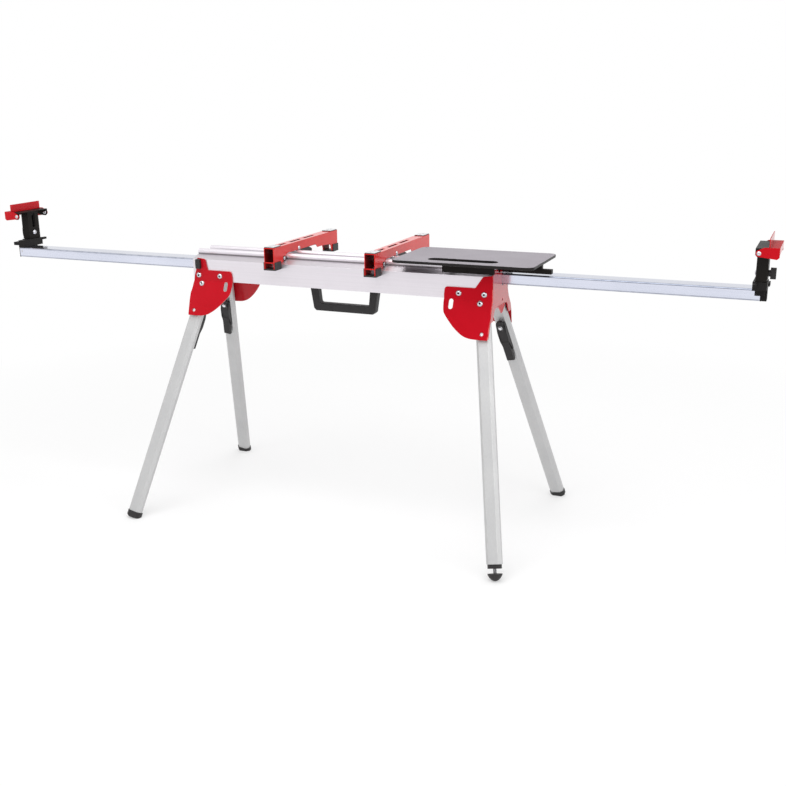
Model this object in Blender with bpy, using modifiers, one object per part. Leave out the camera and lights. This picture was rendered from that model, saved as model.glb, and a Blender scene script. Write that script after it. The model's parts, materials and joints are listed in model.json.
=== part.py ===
"""Folding miter saw stand: beam with two rails, splayed folding legs, two pull-out work supports,
two saw clamps and a side table. Metres, +Z up, floor at z = 0, the stand's middle at the origin.
+X runs along the beam and -Y is the front."""
from math import cos, sin, radians, pi

import bmesh
import bpy
from mathutils import Matrix, Vector

# Fits
GAP = 0.0003            # between pieces fixed to each other
RUN = 0.0005            # between pieces that slide on each other

# Beam: an open-bottomed channel with two tube lanes and two round rails on top
BEAM_HALF_LENGTH = 0.495
BEAM_HALF_WIDTH = 0.076
BEAM_BOTTOM = 0.7265
BEAM_SHOULDER = BEAM_BOTTOM + 0.067
SKIRT_WALL = 0.003
LANE_FLOOR = 0.003
DECK_WALL = 0.0035
RAIL_Y = 0.034
RAIL_Z = BEAM_BOTTOM + 0.085
RAIL_RADIUS = 0.0095
RAIL_FOOT_ANGLE = 40.0
RAIL_TOP = RAIL_Z + RAIL_RADIUS

# Pull-out tubes, lying side by side in the beam
TUBE_WIDTH = 0.062
TUBE_HEIGHT = 0.032
TUBE_WALL = 0.002
TUBE_LENGTH = 0.952
TUBE_END = 1.202
TUBE_Y = TUBE_WIDTH / 2 + 0.0035
TUBE_Z = BEAM_BOTTOM + 0.050
TUBE_TOP = TUBE_Z + TUBE_HEIGHT / 2
LANE_LOW = TUBE_Z - TUBE_HEIGHT / 2 - RUN
LANE_HIGH = TUBE_TOP + RUN

# Bent sheet brackets at the beam's ends
SHEET = 0.003
PLATE_Y = BEAM_HALF_WIDTH + RUN + SHEET     # outer face of the upright part
FOLD_Z = BEAM_BOTTOM + 0.0005               # the lower part leans out from just above the beam's edge
SPLAY = 0.4003                              # how far the lower part leans out per metre of height
PLATE_DROP = 0.105                          # plate below the fold
PLATE_BOTTOM = FOLD_Z - PLATE_DROP
PLATE_TOP = BEAM_SHOULDER + 0.0045
END_DROP = 0.060
END_LOW = FOLD_Z - END_DROP
PRONG_TOP = LANE_HIGH + 0.0183
PRONG_IN = 0.043
PRONG_OUT = 0.058
BOLT_Z = BEAM_BOTTOM + 0.017
BOLT_OUT_X = BEAM_HALF_LENGTH - 0.0219
BOLT_IN_X = BEAM_HALF_LENGTH - 0.0984
BOLT_R = 0.0040
BOLT_HEAD_R = 0.0085

# Legs: flattened octagon tubes that turn on a bolt square to the leaning plate
LEG_PIVOT_X = BEAM_HALF_LENGTH - 0.0329
LEG_PIVOT_Z = FOLD_Z - 0.0089   # where the pivot bolt leaves the plate
LEG_WIDTH = 0.0445
LEG_THICK = 0.028
LEG_DEPTH = LEG_THICK / 2 + SHEET + 0.0093  # from the plate's outer face to the leg's axis
LEG_LEAN = 10.48                # outward, within the leaning plane
LEG_CHAMFER = 0.0085
LEG_WALL = 0.0022
LEG_HEAD = 0.020                # leg above its pivot
LEG_TIP_UP = 0.017              # leg tube stops this far short of the floor, along the leg
CAP_WALL = 0.0018
CAP_LAP = 0.004                 # of the foot cap over the leg's end
CAP_ROUND = 0.008
LEVEL_TIP_UP = 0.0013           # the levelling foot's tip, along the leg
LEVEL_FOOT_HEIGHT = 0.021
LEVEL_STUD = 0.0136             # bare stud between foot and plug
LEVEL_PLUG = 0.0117
STUD_R = 0.005
LOCK_RADIUS = 0.088
FOLD_UP = 1.9                   # left legs fold to this angle above the level
FOLD_DOWN = 10.0                # right legs fold to this angle below it
PIN_R = 0.0055
PIN_STEM_R = 0.0035

# Release levers on the legs' inner faces, measured along the leg from its pivot
LEVER_TOP = LOCK_RADIUS - 0.022
LEVER_END = LOCK_RADIUS + 0.119
LEVER_HINGE_S = LOCK_RADIUS + 0.028
LEVER_HINGE_V = 0.0115          # hinge above the leg's face
LEVER_HALF = 0.0115
LEVER_SWING = 8.5
LEVER_PIN_R = 0.0025
BASE_TOP = LEVER_TOP + 0.004
BASE_END = LEVER_HINGE_S + 0.054
BASE_FLOOR_S = LEVER_HINGE_S - 0.013
CHEEK = 0.0026

# Carrying handle
HANDLE_HALF_THICK = 0.013
HANDLE_ARM_OUT = 0.1145
HANDLE_ARM_IN = HANDLE_ARM_OUT - 0.0260
HANDLE_DROP = 0.0580            # finger room under the beam
HANDLE_BAR_TOP = BEAM_BOTTOM - HANDLE_DROP
HANDLE_BAR_LOW = HANDLE_BAR_TOP - 0.0245

# Work supports at the tubes' ends
COLUMN_X = TUBE_END + 0.001
COLUMN_HALF_X = 0.0145
COLUMN_HALF_Y = 0.0255
COLUMN_WALL = 0.0022
COLUMN_LOW = TUBE_TOP + 0.024
COLUMN_HEIGHT = 0.0935
COLUMN_TRAVEL = COLUMN_HEIGHT - 0.0385
HEAD_TOP = COLUMN_LOW + COLUMN_HEIGHT
HEAD_IN_X = COLUMN_X - COLUMN_HALF_X - 0.0025
HEAD_OUT_X = COLUMN_X + COLUMN_HALF_X + 0.0095
HEAD_HALF_Y = COLUMN_HALF_Y + 0.0445
KNOB_Z = COLUMN_LOW + 0.020
KNOB_BOLT_R = 0.004
STOP_PIVOT_X = HEAD_IN_X + 0.009
STOP_PIVOT_Z = HEAD_TOP - 0.013
STOP_X = HEAD_OUT_X - 0.0085
STOP_OUT_X = HEAD_OUT_X + 0.018
STOP_TOP = HEAD_TOP + 0.026
STOP_SHEET = 0.002

# Tube locks on the bracket necks
LOCK_X = BEAM_HALF_LENGTH - 0.0245
LOCK_Z = TUBE_Z + 0.003

# Saw clamps: inverted channels that lie across the rails
CLAMP_LEFT_X = -0.195
CLAMP_RIGHT_X = 0.1374
CLAMP_HALF = 0.017
CLAMP_SHEET = 0.0025
CLAMP_FRONT = -BEAM_HALF_WIDTH - 0.0416
CLAMP_REAR = 0.314
CLAMP_TOP = RAIL_TOP + 0.0267
CLAMP_LOW = CLAMP_TOP - 0.0637
CLAMP_SEAT = 0.0007             # above the rails
SHOE_LOW = CLAMP_LOW - 0.0045
SHOE_TOP = CLAMP_LOW + 0.020
PAD_THICK = 0.003
HOOK_BOLT_Y = -RAIL_Y - RAIL_RADIUS - 0.0105
HOOK_BOLT_Z = RAIL_Z - 0.003
CAM_BOLT_Y = RAIL_Y + RAIL_RADIUS - 0.0015
CAM_BOLT_Z = RAIL_TOP + 0.006

# Side table
TABLE_X0 = 0.206
TABLE_X1 = 0.626
TABLE_HALF_Y = 0.131
TABLE_TOP = RAIL_TOP + 0.0155
TABLE_THICK = 0.008
TABLE_CORNER = 0.022
SLOT_X0 = TABLE_X0 + 0.096
SLOT_X1 = TABLE_X1 - 0.116
SLOT_Y = -TABLE_HALF_Y + 0.057
SLOT_HALF = 0.020
TABLE_BAR_Y0 = 0.0055
TABLE_BAR_Y1 = 0.0235
TABLE_BAR_X1 = TABLE_X1 + 0.016
TABLE_BAR_TOP = RAIL_TOP - 0.0112
UNDER_RAIL_X0 = TABLE_X0 + 0.144
UNDER_RAIL_X1 = BEAM_HALF_LENGTH + 0.009
TABLE_BAR_X0 = UNDER_RAIL_X0 - 0.005
UNDER_RAIL_LOW = RAIL_Z - 0.008
UNDER_RAIL_THICK = 0.008

for old in list(bpy.data.objects):
    bpy.data.objects.remove(old, do_unlink=True)

PARTS = bpy.data.collections.new("miter_saw_stand")
WORK = bpy.data.collections.new("cutters")
bpy.context.scene.collection.children.link(PARTS)
bpy.context.scene.collection.children.link(WORK)


def linear(value):
    """One display colour channel, 0 to 255, as a linear value."""
    value = value / 255.0
    if value <= 0.04045:
        return value / 12.92
    return ((value + 0.055) / 1.055) ** 2.4


def material(name, rgb, roughness, metallic):
    mat = bpy.data.materials.new(name)
    mat.use_nodes = True
    shader = mat.node_tree.nodes["Principled BSDF"]
    shader.inputs["Base Color"].default_value = [linear(c) for c in rgb] + [1.0]
    shader.inputs["Roughness"].default_value = roughness
    shader.inputs["Metallic"].default_value = metallic
    return mat


LOOKS = {
    "red": ((192, 28, 36), 0.40, 0.0),
    "silver": ((205, 204, 208), 0.35, 0.9),
    "chrome": ((222, 226, 238), 0.16, 1.0),
    "grey": ((196, 196, 198), 0.45, 0.6),
    "black": ((48, 46, 47), 0.55, 0.0),
    "steel": ((190, 190, 192), 0.30, 1.0),
    "table": ((186, 184, 186), 0.38, 0.5),
}


def work(mesh):
    """A construction body, kept out of renders."""
    obj = bpy.data.objects.new("work", mesh)
    WORK.objects.link(obj)
    obj.hide_render = True
    obj.display_type = "WIRE"
    return obj


def settle(bm):
    """Weld, face outward, and hand back as a construction body."""
    bmesh.ops.remove_doubles(bm, verts=bm.verts, dist=0.000002)
    bmesh.ops.recalc_face_normals(bm, faces=bm.faces)
    mesh = bpy.data.meshes.new("work")
    bm.to_mesh(mesh)
    bm.free()
    return work(mesh)


def baked(obj):
    """The evaluated mesh of an object, which is then removed."""
    depsgraph = bpy.context.evaluated_depsgraph_get()
    mesh = bpy.data.meshes.new_from_object(obj.evaluated_get(depsgraph))
    bpy.data.objects.remove(obj, do_unlink=True)
    bm = bmesh.new()
    bm.from_mesh(mesh)
    bpy.data.meshes.remove(mesh)
    return settle(bm)


def moved(obj, matrix):
    """The body carried by a matrix, with its faces kept outward."""
    bm = bmesh.new()
    bm.from_mesh(obj.data)
    bm.transform(matrix)
    bpy.data.objects.remove(obj, do_unlink=True)
    return settle(bm)


def block(a, b):
    """A box between two corners."""
    bm = bmesh.new()
    bmesh.ops.create_cube(bm, size=1.0)
    low = Vector([min(p, q) for p, q in zip(a, b)])
    high = Vector([max(p, q) for p, q in zip(a, b)])
    for vert in bm.verts:
        vert.co = Vector([low[i] + (vert.co[i] + 0.5) * (high[i] - low[i]) for i in range(3)])
    return settle(bm)


def rod(a, b, radius, segments=18):
    """A cylinder from one point to another."""
    a = Vector(a)
    b = Vector(b)
    turn = (b - a).to_track_quat("Z", "Y").to_matrix().to_4x4()
    bm = bmesh.new()
    bmesh.ops.create_cone(bm, cap_ends=True, cap_tris=False, segments=segments, radius1=radius,
                          radius2=radius, depth=(b - a).length, matrix=Matrix.Translation((a + b) / 2) @ turn)
    return settle(bm)


def outline(points, depth, matrix):
    """A flat outline with a thickness, drawn in XY about z = 0 and carried by a matrix."""
    curve = bpy.data.curves.new("outline", "CURVE")
    curve.dimensions = "2D"
    curve.fill_mode = "BOTH"
    curve.extrude = depth / 2
    spline = curve.splines.new("POLY")
    spline.points.add(len(points) - 1)
    for point, (u, v) in zip(spline.points, points):
        point.co = (u, v, 0.0, 1.0)
    spline.use_cyclic_u = True
    obj = bpy.data.objects.new("outline", curve)
    WORK.objects.link(obj)
    body = baked(obj)
    bpy.data.curves.remove(curve)
    return moved(body, matrix)


def axes(x_to, y_to, z_to, at=(0.0, 0.0, 0.0)):
    """A matrix that sends the drawing's X, Y and Z to three directions and its origin to a point."""
    return Matrix(((x_to[0], y_to[0], z_to[0], at[0]), (x_to[1], y_to[1], z_to[1], at[1]),
                   (x_to[2], y_to[2], z_to[2], at[2]), (0.0, 0.0, 0.0, 1.0)))


X = Vector((1.0, 0.0, 0.0))
Y = Vector((0.0, 1.0, 0.0))
Z = Vector((0.0, 0.0, 1.0))


def turned(profile, start, direction, steps=18):
    """A solid of revolution: (radius, height) pairs from top to bottom, heights along a direction."""
    mesh = bpy.data.meshes.new("profile")
    mesh.from_pydata([(r, 0.0, h) for r, h in profile], [(i, i + 1) for i in range(len(profile) - 1)], [])
    obj = work(mesh)
    screw = obj.modifiers.new("turn", "SCREW")
    screw.axis = "Z"
    screw.angle = 2 * pi
    screw.steps = steps
    screw.render_steps = steps
    screw.use_merge_vertices = True
    screw.merge_threshold = 0.00001
    body = baked(obj)
    swing = Vector(direction).to_track_quat("Z", "Y").to_matrix().to_4x4()
    return moved(body, Matrix.Translation(Vector(start)) @ swing)


def together(bodies):
    """Several separate bodies in one mesh."""
    bm = bmesh.new()
    for body in bodies:
        bm.from_mesh(body.data)
        bpy.data.objects.remove(body, do_unlink=True)
    mesh = bpy.data.meshes.new("work")
    bm.to_mesh(mesh)
    bm.free()
    return work(mesh)


def boolean(obj, other, operation):
    mod = obj.modifiers.new("bool", "BOOLEAN")
    mod.operation = operation
    mod.solver = "EXACT"
    mod.object = other
    body = baked(obj)
    bpy.data.objects.remove(other, do_unlink=True)
    return body


def cut(obj, *others):
    return boolean(obj, together(others), "DIFFERENCE")


def join(obj, *others):
    for other in others:
        obj = boolean(obj, other, "UNION")
    return obj


def finish(obj, name, look, origin=(0.0, 0.0, 0.0), smooth=35.0):
    """Name a body, give it its material and put its origin where it turns or slides."""
    origin = Vector(origin)
    rgb, roughness, metallic = LOOKS[look]
    mesh = obj.data
    mesh.transform(Matrix.Translation(-origin))
    mesh.materials.clear()
    mesh.materials.append(material(name + "_" + look, rgb, roughness, metallic))
    mesh.shade_smooth()
    mesh.set_sharp_from_angle(angle=radians(smooth))
    mesh.name = name
    obj.name = name
    obj.location = origin
    obj.hide_render = False
    obj.display_type = "TEXTURED"
    WORK.objects.unlink(obj)
    PARTS.objects.link(obj)
    return obj


def arc(cx, cy, radius, start, end, count):
    """Points along an arc, angles in degrees."""
    return [(cx + radius * cos(radians(start + (end - start) * i / count)),
             cy + radius * sin(radians(start + (end - start) * i / count))) for i in range(count + 1)]


def half_turn(side):
    """The right end's place for side 1, and the same turned half round the stand for side -1."""
    return Matrix.Diagonal((side, side, 1.0, 1.0))


# Levels that follow from the sizes above
TUBE_IN_Y = TUBE_Y - TUBE_WIDTH / 2
TUBE_OUT_Y = TUBE_Y + TUBE_WIDTH / 2
CHANNEL_TOP = LANE_LOW - LANE_FLOOR
DECK = LANE_HIGH + DECK_WALL
END_IN = BEAM_HALF_LENGTH + RUN
END_OUT = END_IN + SHEET
RAIL_FOOT_Y = RAIL_Y + RAIL_RADIUS * cos(radians(RAIL_FOOT_ANGLE))
RAIL_FOOT_Z = RAIL_Z - RAIL_RADIUS * sin(radians(RAIL_FOOT_ANGLE))
SHOULDER_SLOPE = (RAIL_FOOT_Z - BEAM_SHOULDER) / (BEAM_HALF_WIDTH - RAIL_FOOT_Y)
SIDES = ((-1, "left"), (1, "right"))
LEGS = ((-1, -1, "front_left"), (1, -1, "front_right"), (-1, 1, "rear_left"), (1, 1, "rear_right"))


def shoulder(y):
    """Height of the beam's sloping top edge at a distance from the middle."""
    return BEAM_SHOULDER + (BEAM_HALF_WIDTH - abs(y)) * SHOULDER_SLOPE


# Beam
half = [(BEAM_HALF_WIDTH - SKIRT_WALL, BEAM_BOTTOM), (BEAM_HALF_WIDTH, BEAM_BOTTOM),
        (BEAM_HALF_WIDTH, BEAM_SHOULDER)]
half += arc(RAIL_Y, RAIL_Z, RAIL_RADIUS, -RAIL_FOOT_ANGLE, 180 + RAIL_FOOT_ANGLE, 13)
half += [(2 * RAIL_Y - RAIL_FOOT_Y - 0.001, DECK)]
section = half + [(-y, z) for y, z in reversed(half)]
section += [(-(BEAM_HALF_WIDTH - SKIRT_WALL), CHANNEL_TOP), (BEAM_HALF_WIDTH - SKIRT_WALL, CHANNEL_TOP)]
beam = outline(section, 2 * BEAM_HALF_LENGTH, axes(Y, Z, X))
holes = []
for side in (-1, 1):
    holes.append(block((-BEAM_HALF_LENGTH - 0.01, side * (TUBE_IN_Y - RUN), LANE_LOW),
                       (BEAM_HALF_LENGTH + 0.01, side * (TUBE_OUT_Y + RUN), LANE_HIGH)))
beam = cut(beam, *holes)
holes = []
for sx in (-1, 1):
    for x in (BOLT_OUT_X, BOLT_IN_X):
        for sy in (-1, 1):
            holes.append(rod((sx * x, sy * (BEAM_HALF_WIDTH + 0.01), BOLT_Z),
                             (sx * x, sy * (BEAM_HALF_WIDTH - 0.02), BOLT_Z), BOLT_R + GAP, 14))
    holes.append(rod((sx * LOCK_X, sx * (BEAM_HALF_WIDTH + 0.01), LOCK_Z),
                     (sx * LOCK_X, sx * (TUBE_OUT_Y - 0.004), LOCK_Z), 0.004 + GAP, 14))
finish(cut(beam, *holes), "main_beam", "silver")

# Brackets: front, end and rear plates folded from one sheet
LEAN = Vector((0.0, SPLAY, -1.0)).normalized()      # down the rear plate
SPLAY_COS = -LEAN.z
SPLAY_SIN = LEAN.y


def plate_y(z):
    """Distance of a side plate's outer face from the middle at a height."""
    return PLATE_Y + max(0.0, FOLD_Z - z) * SPLAY


drop = PLATE_DROP + 0.03


def eased_path(points, steps=4):
    """A smooth run through some points, which stay on it."""
    path = []
    for i in range(len(points) - 1):
        a = Vector(points[max(i - 1, 0)])
        b = Vector(points[i])
        c = Vector(points[i + 1])
        d = Vector(points[min(i + 2, len(points) - 1)])
        for k in range(steps):
            f = k / steps
            q = 2 * b + (c - a) * f + (2 * a - 5 * b + 4 * c - d) * f * f + (3 * b - a - 3 * c + d) * f ** 3
            path.append((q[0] / 2, q[1] / 2))
    return path + [tuple(points[-1])]


# outlines of the side plates: distance in from the end plate's outer face, height above the fold.
# On the tube's side the neck stands back from the end and its outer edge slopes.
neck_plain = [(0.0525, 0.0340), (0.0305, 0.0660), (0.0255, 0.0685), (0.0, 0.0710), (0.0, -END_DROP)]
neck_tube = [(0.0580, 0.0335), (0.0510, 0.0655), (0.0480, 0.0685), (0.0240, 0.0710), (0.0215, 0.0680),
             (0.0160, 0.0340), (0.0100, 0.0170), (0.0052, -0.0100), (0.0030, -0.0310), (0.0, -0.0370),
             (0.0, -END_DROP)]
# lower rim: distance in from the end, height above the plate's bottom
rim = [(0.0331, 0.0), (0.0574, 0.0016), (0.0791, 0.0085), (0.1042, 0.0260), (0.1225, 0.0435), (0.1390, 0.0622),
       (0.1440, 0.0736), (0.1462, 0.0930)]
rim = eased_path(rim)
toe_plain = [(0.0, 0.003), (0.0020, 0.0)]
toe_tube = [(0.0030, 0.002), (0.0050, 0.0)]
corner = [(0.1462, 0.0130), (0.1445, 0.0270), (0.1415, 0.0320), (0.1365, 0.0335)]


def side_shape(neck, toe):
    points = [(END_OUT - u, FOLD_Z + v) for u, v in neck]
    points += [(END_OUT - u, PLATE_BOTTOM + v * PLATE_DROP / 0.105) for u, v in toe + rim]
    return points + [(END_OUT - u, FOLD_Z + v) for u, v in corner]


inner = PLATE_Y - SHEET
# the inner face keeps the sheet's thickness square to the leaning part
inner_fold = FOLD_Z - SHEET * (1 - SPLAY_COS) / SPLAY_SIN
strip = [(PLATE_Y, PLATE_TOP + 0.01), (PLATE_Y, FOLD_Z), (PLATE_Y + drop * SPLAY, FOLD_Z - drop),
         (inner + (inner_fold - FOLD_Z + drop) * SPLAY, FOLD_Z - drop), (inner, inner_fold),
         (inner, PLATE_TOP + 0.01)]
mid = PLATE_Y - SHEET / 2
notch = LANE_HIGH + SHEET
# end plate, half by half: the plain side has a prong, the tube's side is cut down to clear the tube
low_edge = [(mid + END_DROP * SPLAY, END_LOW), (mid - 0.002, END_LOW), (mid - 0.014, END_LOW + 0.023),
            (mid - 0.022, END_LOW + 0.033)]
plain_half = [(PRONG_IN, PRONG_TOP), (PRONG_OUT, PRONG_TOP), (mid, PLATE_TOP), (mid, FOLD_Z)] + low_edge
tip = LANE_HIGH + 0.010
under_tube = LANE_LOW - 0.003
tube_half = [(-0.002, tip), (0.002, tip), (TUBE_IN_Y - RUN, tip - 0.006), (TUBE_IN_Y - RUN, under_tube),
             (TUBE_OUT_Y - 0.012, under_tube), (mid - 0.004, FOLD_Z - 0.012),
             (mid + 0.037 * SPLAY, FOLD_Z - 0.037)] + low_edge
end_shape = tube_half + [(-y, z) for y, z in reversed(plain_half)] + [(-0.018, notch), (-0.006, tip)]
PIVOT = {}
for sy in (-1, 1):
    normal = Vector((0.0, sy * SPLAY_COS, SPLAY_SIN))
    surface = Vector((LEG_PIVOT_X, sy * plate_y(LEG_PIVOT_Z), LEG_PIVOT_Z))
    PIVOT[sy] = (surface - normal * LEG_DEPTH, normal)
LEAN_IN = radians(LEG_LEAN)


def on_leg(sx, sy):
    """Matrix from (across, out from the stand, along the leg) to the stand's frame."""
    point, normal = PIVOT[sy]
    down = Vector((0.0, sy * SPLAY_SIN, -SPLAY_COS))
    outward = Vector((sx, 0.0, 0.0))
    along = down * cos(LEAN_IN) + outward * sin(LEAN_IN)
    across = outward * cos(LEAN_IN) - down * sin(LEAN_IN)
    return axes(across, normal, along, (sx * point.x, point.y, point.z))


LEG_LENGTH = PIVOT[1][0].z / (SPLAY_COS * cos(LEAN_IN))
slot_high = LOCK_RADIUS * sin(radians(FOLD_UP)) + PIN_R + 0.0008
slot_low = -LOCK_RADIUS * sin(radians(FOLD_DOWN)) - PIN_R - 0.0008
slot_far = LOCK_RADIUS * cos(radians(FOLD_UP)) + PIN_R + 0.0008
slot_near = LOCK_RADIUS * cos(radians(FOLD_DOWN)) - PIN_R - 0.0008
for side, word in SIDES:
    plates = []
    for sy, neck, toe in ((-1, neck_plain, toe_plain), (1, neck_tube, toe_tube)):
        sheet = outline([(sy * y, z) for y, z in strip], 0.20, axes(Y, Z, X, (END_OUT - 0.08, 0.0, 0.0)))
        plates.append(boolean(sheet, outline(side_shape(neck, toe), 0.5, axes(X, Z, Y)), "INTERSECT"))
    end = outline(end_shape, SHEET, axes(Y, Z, X, (END_IN + SHEET / 2, 0.0, 0.0)))
    flange = [(plate_y(z) - deep, z) for z, deep in ((END_LOW + 0.004, 0.001), (END_LOW + 0.004, 0.009),
                                                     (PLATE_BOTTOM + 0.003, 0.007), (PLATE_BOTTOM + 0.003, 0.001))]
    end = join(end, outline([(-y, z) for y, z in flange], SHEET - 0.0002,
                            axes(Y, Z, X, (END_IN + SHEET / 2, 0.0, 0.0))))
    tilt = Matrix.Translation((END_IN + SHEET / 2 + 0.0005, 0.0, END_LOW + 0.033))
    tilt = tilt @ Matrix.Rotation(radians(16), 4, "Y") @ axes(Y, Z, X)
    tab = outline([(-0.034, 0.003), (0.038, 0.003), (0.040, -0.028), (0.033, -0.032)], SHEET, tilt)
    body = join(end, *plates, tab)
    holes = []
    drain = FOLD_Z - 0.012
    holes.append(rod((END_IN - 0.01, 0.012, drain), (END_OUT + 0.01, 0.012, drain), 0.004, 12))
    holes.append(rod((LOCK_X, PLATE_Y + 0.01, LOCK_Z), (LOCK_X, PLATE_Y - 0.01, LOCK_Z), 0.004 + GAP, 14))
    for sy in (-1, 1):
        for x in (BOLT_OUT_X, BOLT_IN_X):
            holes.append(rod((x, sy * (PLATE_Y + 0.01), BOLT_Z), (x, sy * (PLATE_Y - 0.01), BOLT_Z),
                             BOLT_R + GAP, 14))
        point, normal = PIVOT[sy]
        holes.append(rod(point + normal * (LEG_DEPTH - 0.010), point + normal * (LEG_DEPTH + 0.010),
                         BOLT_R + GAP, 14))
        leg_frame = on_leg(1, sy)
        lock = leg_frame @ Vector((0.0, 0.0, LOCK_RADIUS))
        holes.append(rod(lock + normal * (LEG_DEPTH - 0.010), lock + normal * (LEG_DEPTH + 0.010),
                         PIN_R + 0.0005, 16))
        r = (slot_far - slot_near) / 2
        mid_x = -(slot_far + slot_near) / 2
        ring = arc(mid_x, slot_high - r, r, 0, 180, 8) + arc(mid_x, slot_low + r, r, 180, 360, 8)
        up = Vector((0.0, -sy * SPLAY_SIN, SPLAY_COS))
        holes.append(outline(ring, 0.02, axes(X, up, normal, point + normal * (LEG_DEPTH - SHEET / 2))))
    finish(moved(cut(body, *holes), half_turn(side)), "bracket_" + word, "red")

# Bracket bolts: each runs right across under the tube lanes, from the front plate to the rear one
for sx, side_word in SIDES:
    for x, word in ((BOLT_OUT_X, "outer"), (BOLT_IN_X, "inner")):
        seat = PLATE_Y + GAP
        profile = [(0.0, seat + 0.0042), (0.0050, seat + 0.0038), (BOLT_HEAD_R - 0.0008, seat + 0.0020),
                   (BOLT_HEAD_R, seat), (BOLT_R, seat), (BOLT_R, -seat), (BOLT_HEAD_R, -seat),
                   (BOLT_HEAD_R - 0.0008, -seat - 0.0020), (0.0050, -seat - 0.0038), (0.0, -seat - 0.0042)]
        bolt = turned(profile, (sx * x, 0.0, BOLT_Z), (0.0, 1.0, 0.0), 16)
        finish(bolt, "bracket_bolt_" + word + "_" + side_word, "steel", (sx * x, 0.0, BOLT_Z))

# Pivot bolts: head on the plate, collar between plate and leg, nut on the leg's inner face
for sx, sy, word in LEGS:
    point, normal = PIVOT[sy]
    face = LEG_THICK / 2
    profile = [(0.0, LEG_DEPTH + GAP + 0.0045), (0.0055, LEG_DEPTH + GAP + 0.0040),
               (BOLT_HEAD_R, LEG_DEPTH + GAP + 0.0018), (BOLT_HEAD_R, LEG_DEPTH + GAP),
               (BOLT_R, LEG_DEPTH + GAP), (BOLT_R, LEG_DEPTH - SHEET - GAP),
               (0.0095, LEG_DEPTH - SHEET - GAP), (0.0095, face + GAP), (BOLT_R, face + GAP),
               (BOLT_R, -face - GAP), (0.0070, -face - GAP), (0.0070, -face - 0.005), (0.0, -face - 0.005)]
    place = (sx * point.x, point.y, point.z)
    finish(turned(profile, place, normal, 16), "pivot_bolt_" + word, "steel", place)

# Carrying handle under the beam's middle
handle_half = [(0.0, HANDLE_BAR_LOW), (0.0965, HANDLE_BAR_LOW), (0.1040, HANDLE_BAR_LOW + 0.0065),
               (HANDLE_ARM_OUT, BEAM_BOTTOM - 0.010), (HANDLE_ARM_OUT, CHANNEL_TOP - GAP),
               (HANDLE_ARM_IN, CHANNEL_TOP - GAP), (HANDLE_ARM_IN - 0.001, BEAM_BOTTOM - 0.014),
               (0.0835, HANDLE_BAR_TOP + 0.004), (0.0800, HANDLE_BAR_TOP), (0.0, HANDLE_BAR_TOP)]
handle_shape = handle_half + [(-x, z) for x, z in reversed(handle_half[1:-1])]
handle = outline(handle_shape, 2 * HANDLE_HALF_THICK, axes(X, Z, Y))
bevel = handle.modifiers.new("soft", "BEVEL")
bevel.width = 0.003
bevel.segments = 2
bevel.limit_method = "ANGLE"
bevel.angle_limit = radians(60)
finish(baked(handle), "carry_handle", "black")


def octagon(half_w, half_t, chamfer):
    return [(half_w, -half_t + chamfer), (half_w, half_t - chamfer), (half_w - chamfer, half_t),
            (-half_w + chamfer, half_t), (-half_w, half_t - chamfer), (-half_w, -half_t + chamfer),
            (-half_w + chamfer, -half_t), (half_w - chamfer, -half_t)]


def leg_bar(grow, start, end, frame):
    """An eight-sided bar along the leg, larger or smaller than the tube by grow on each face."""
    shape = octagon(LEG_WIDTH / 2 + grow, LEG_THICK / 2 + grow, LEG_CHAMFER + grow * 0.5858)
    return outline(shape, end - start, frame @ Matrix.Translation((0.0, 0.0, (start + end) / 2)))


def profile_on_leg(points, half_w, frame, centre=0.0):
    """An outline in (along the leg, out from it), with its thickness across the leg."""
    place = frame @ axes((0.0, 0.0, 1.0), (0.0, 1.0, 0.0), (1.0, 0.0, 0.0), (centre, 0.0, 0.0))
    return outline(points, 2 * half_w, place)


FACE = LEG_THICK / 2
HINGE_V = -FACE - LEVER_HINGE_V
LEVER_LEG_V = HINGE_V + 0.0062      # the lever's face toward the leg when squeezed
LEVER_BACK_V = HINGE_V - 0.0052
swing = radians(LEVER_SWING)
PIN_TRAVEL = (LEVER_HINGE_S - LOCK_RADIUS) * swing  # how far squeezing a lever draws its pin


def released(s, v):
    """Where a point of the squeezed lever comes to when its spring has swung it back."""
    ds = s - LEVER_HINGE_S
    dv = v - HINGE_V
    return (LEVER_HINGE_S + ds * cos(swing) + dv * sin(swing), HINGE_V - ds * sin(swing) + dv * cos(swing))


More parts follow.
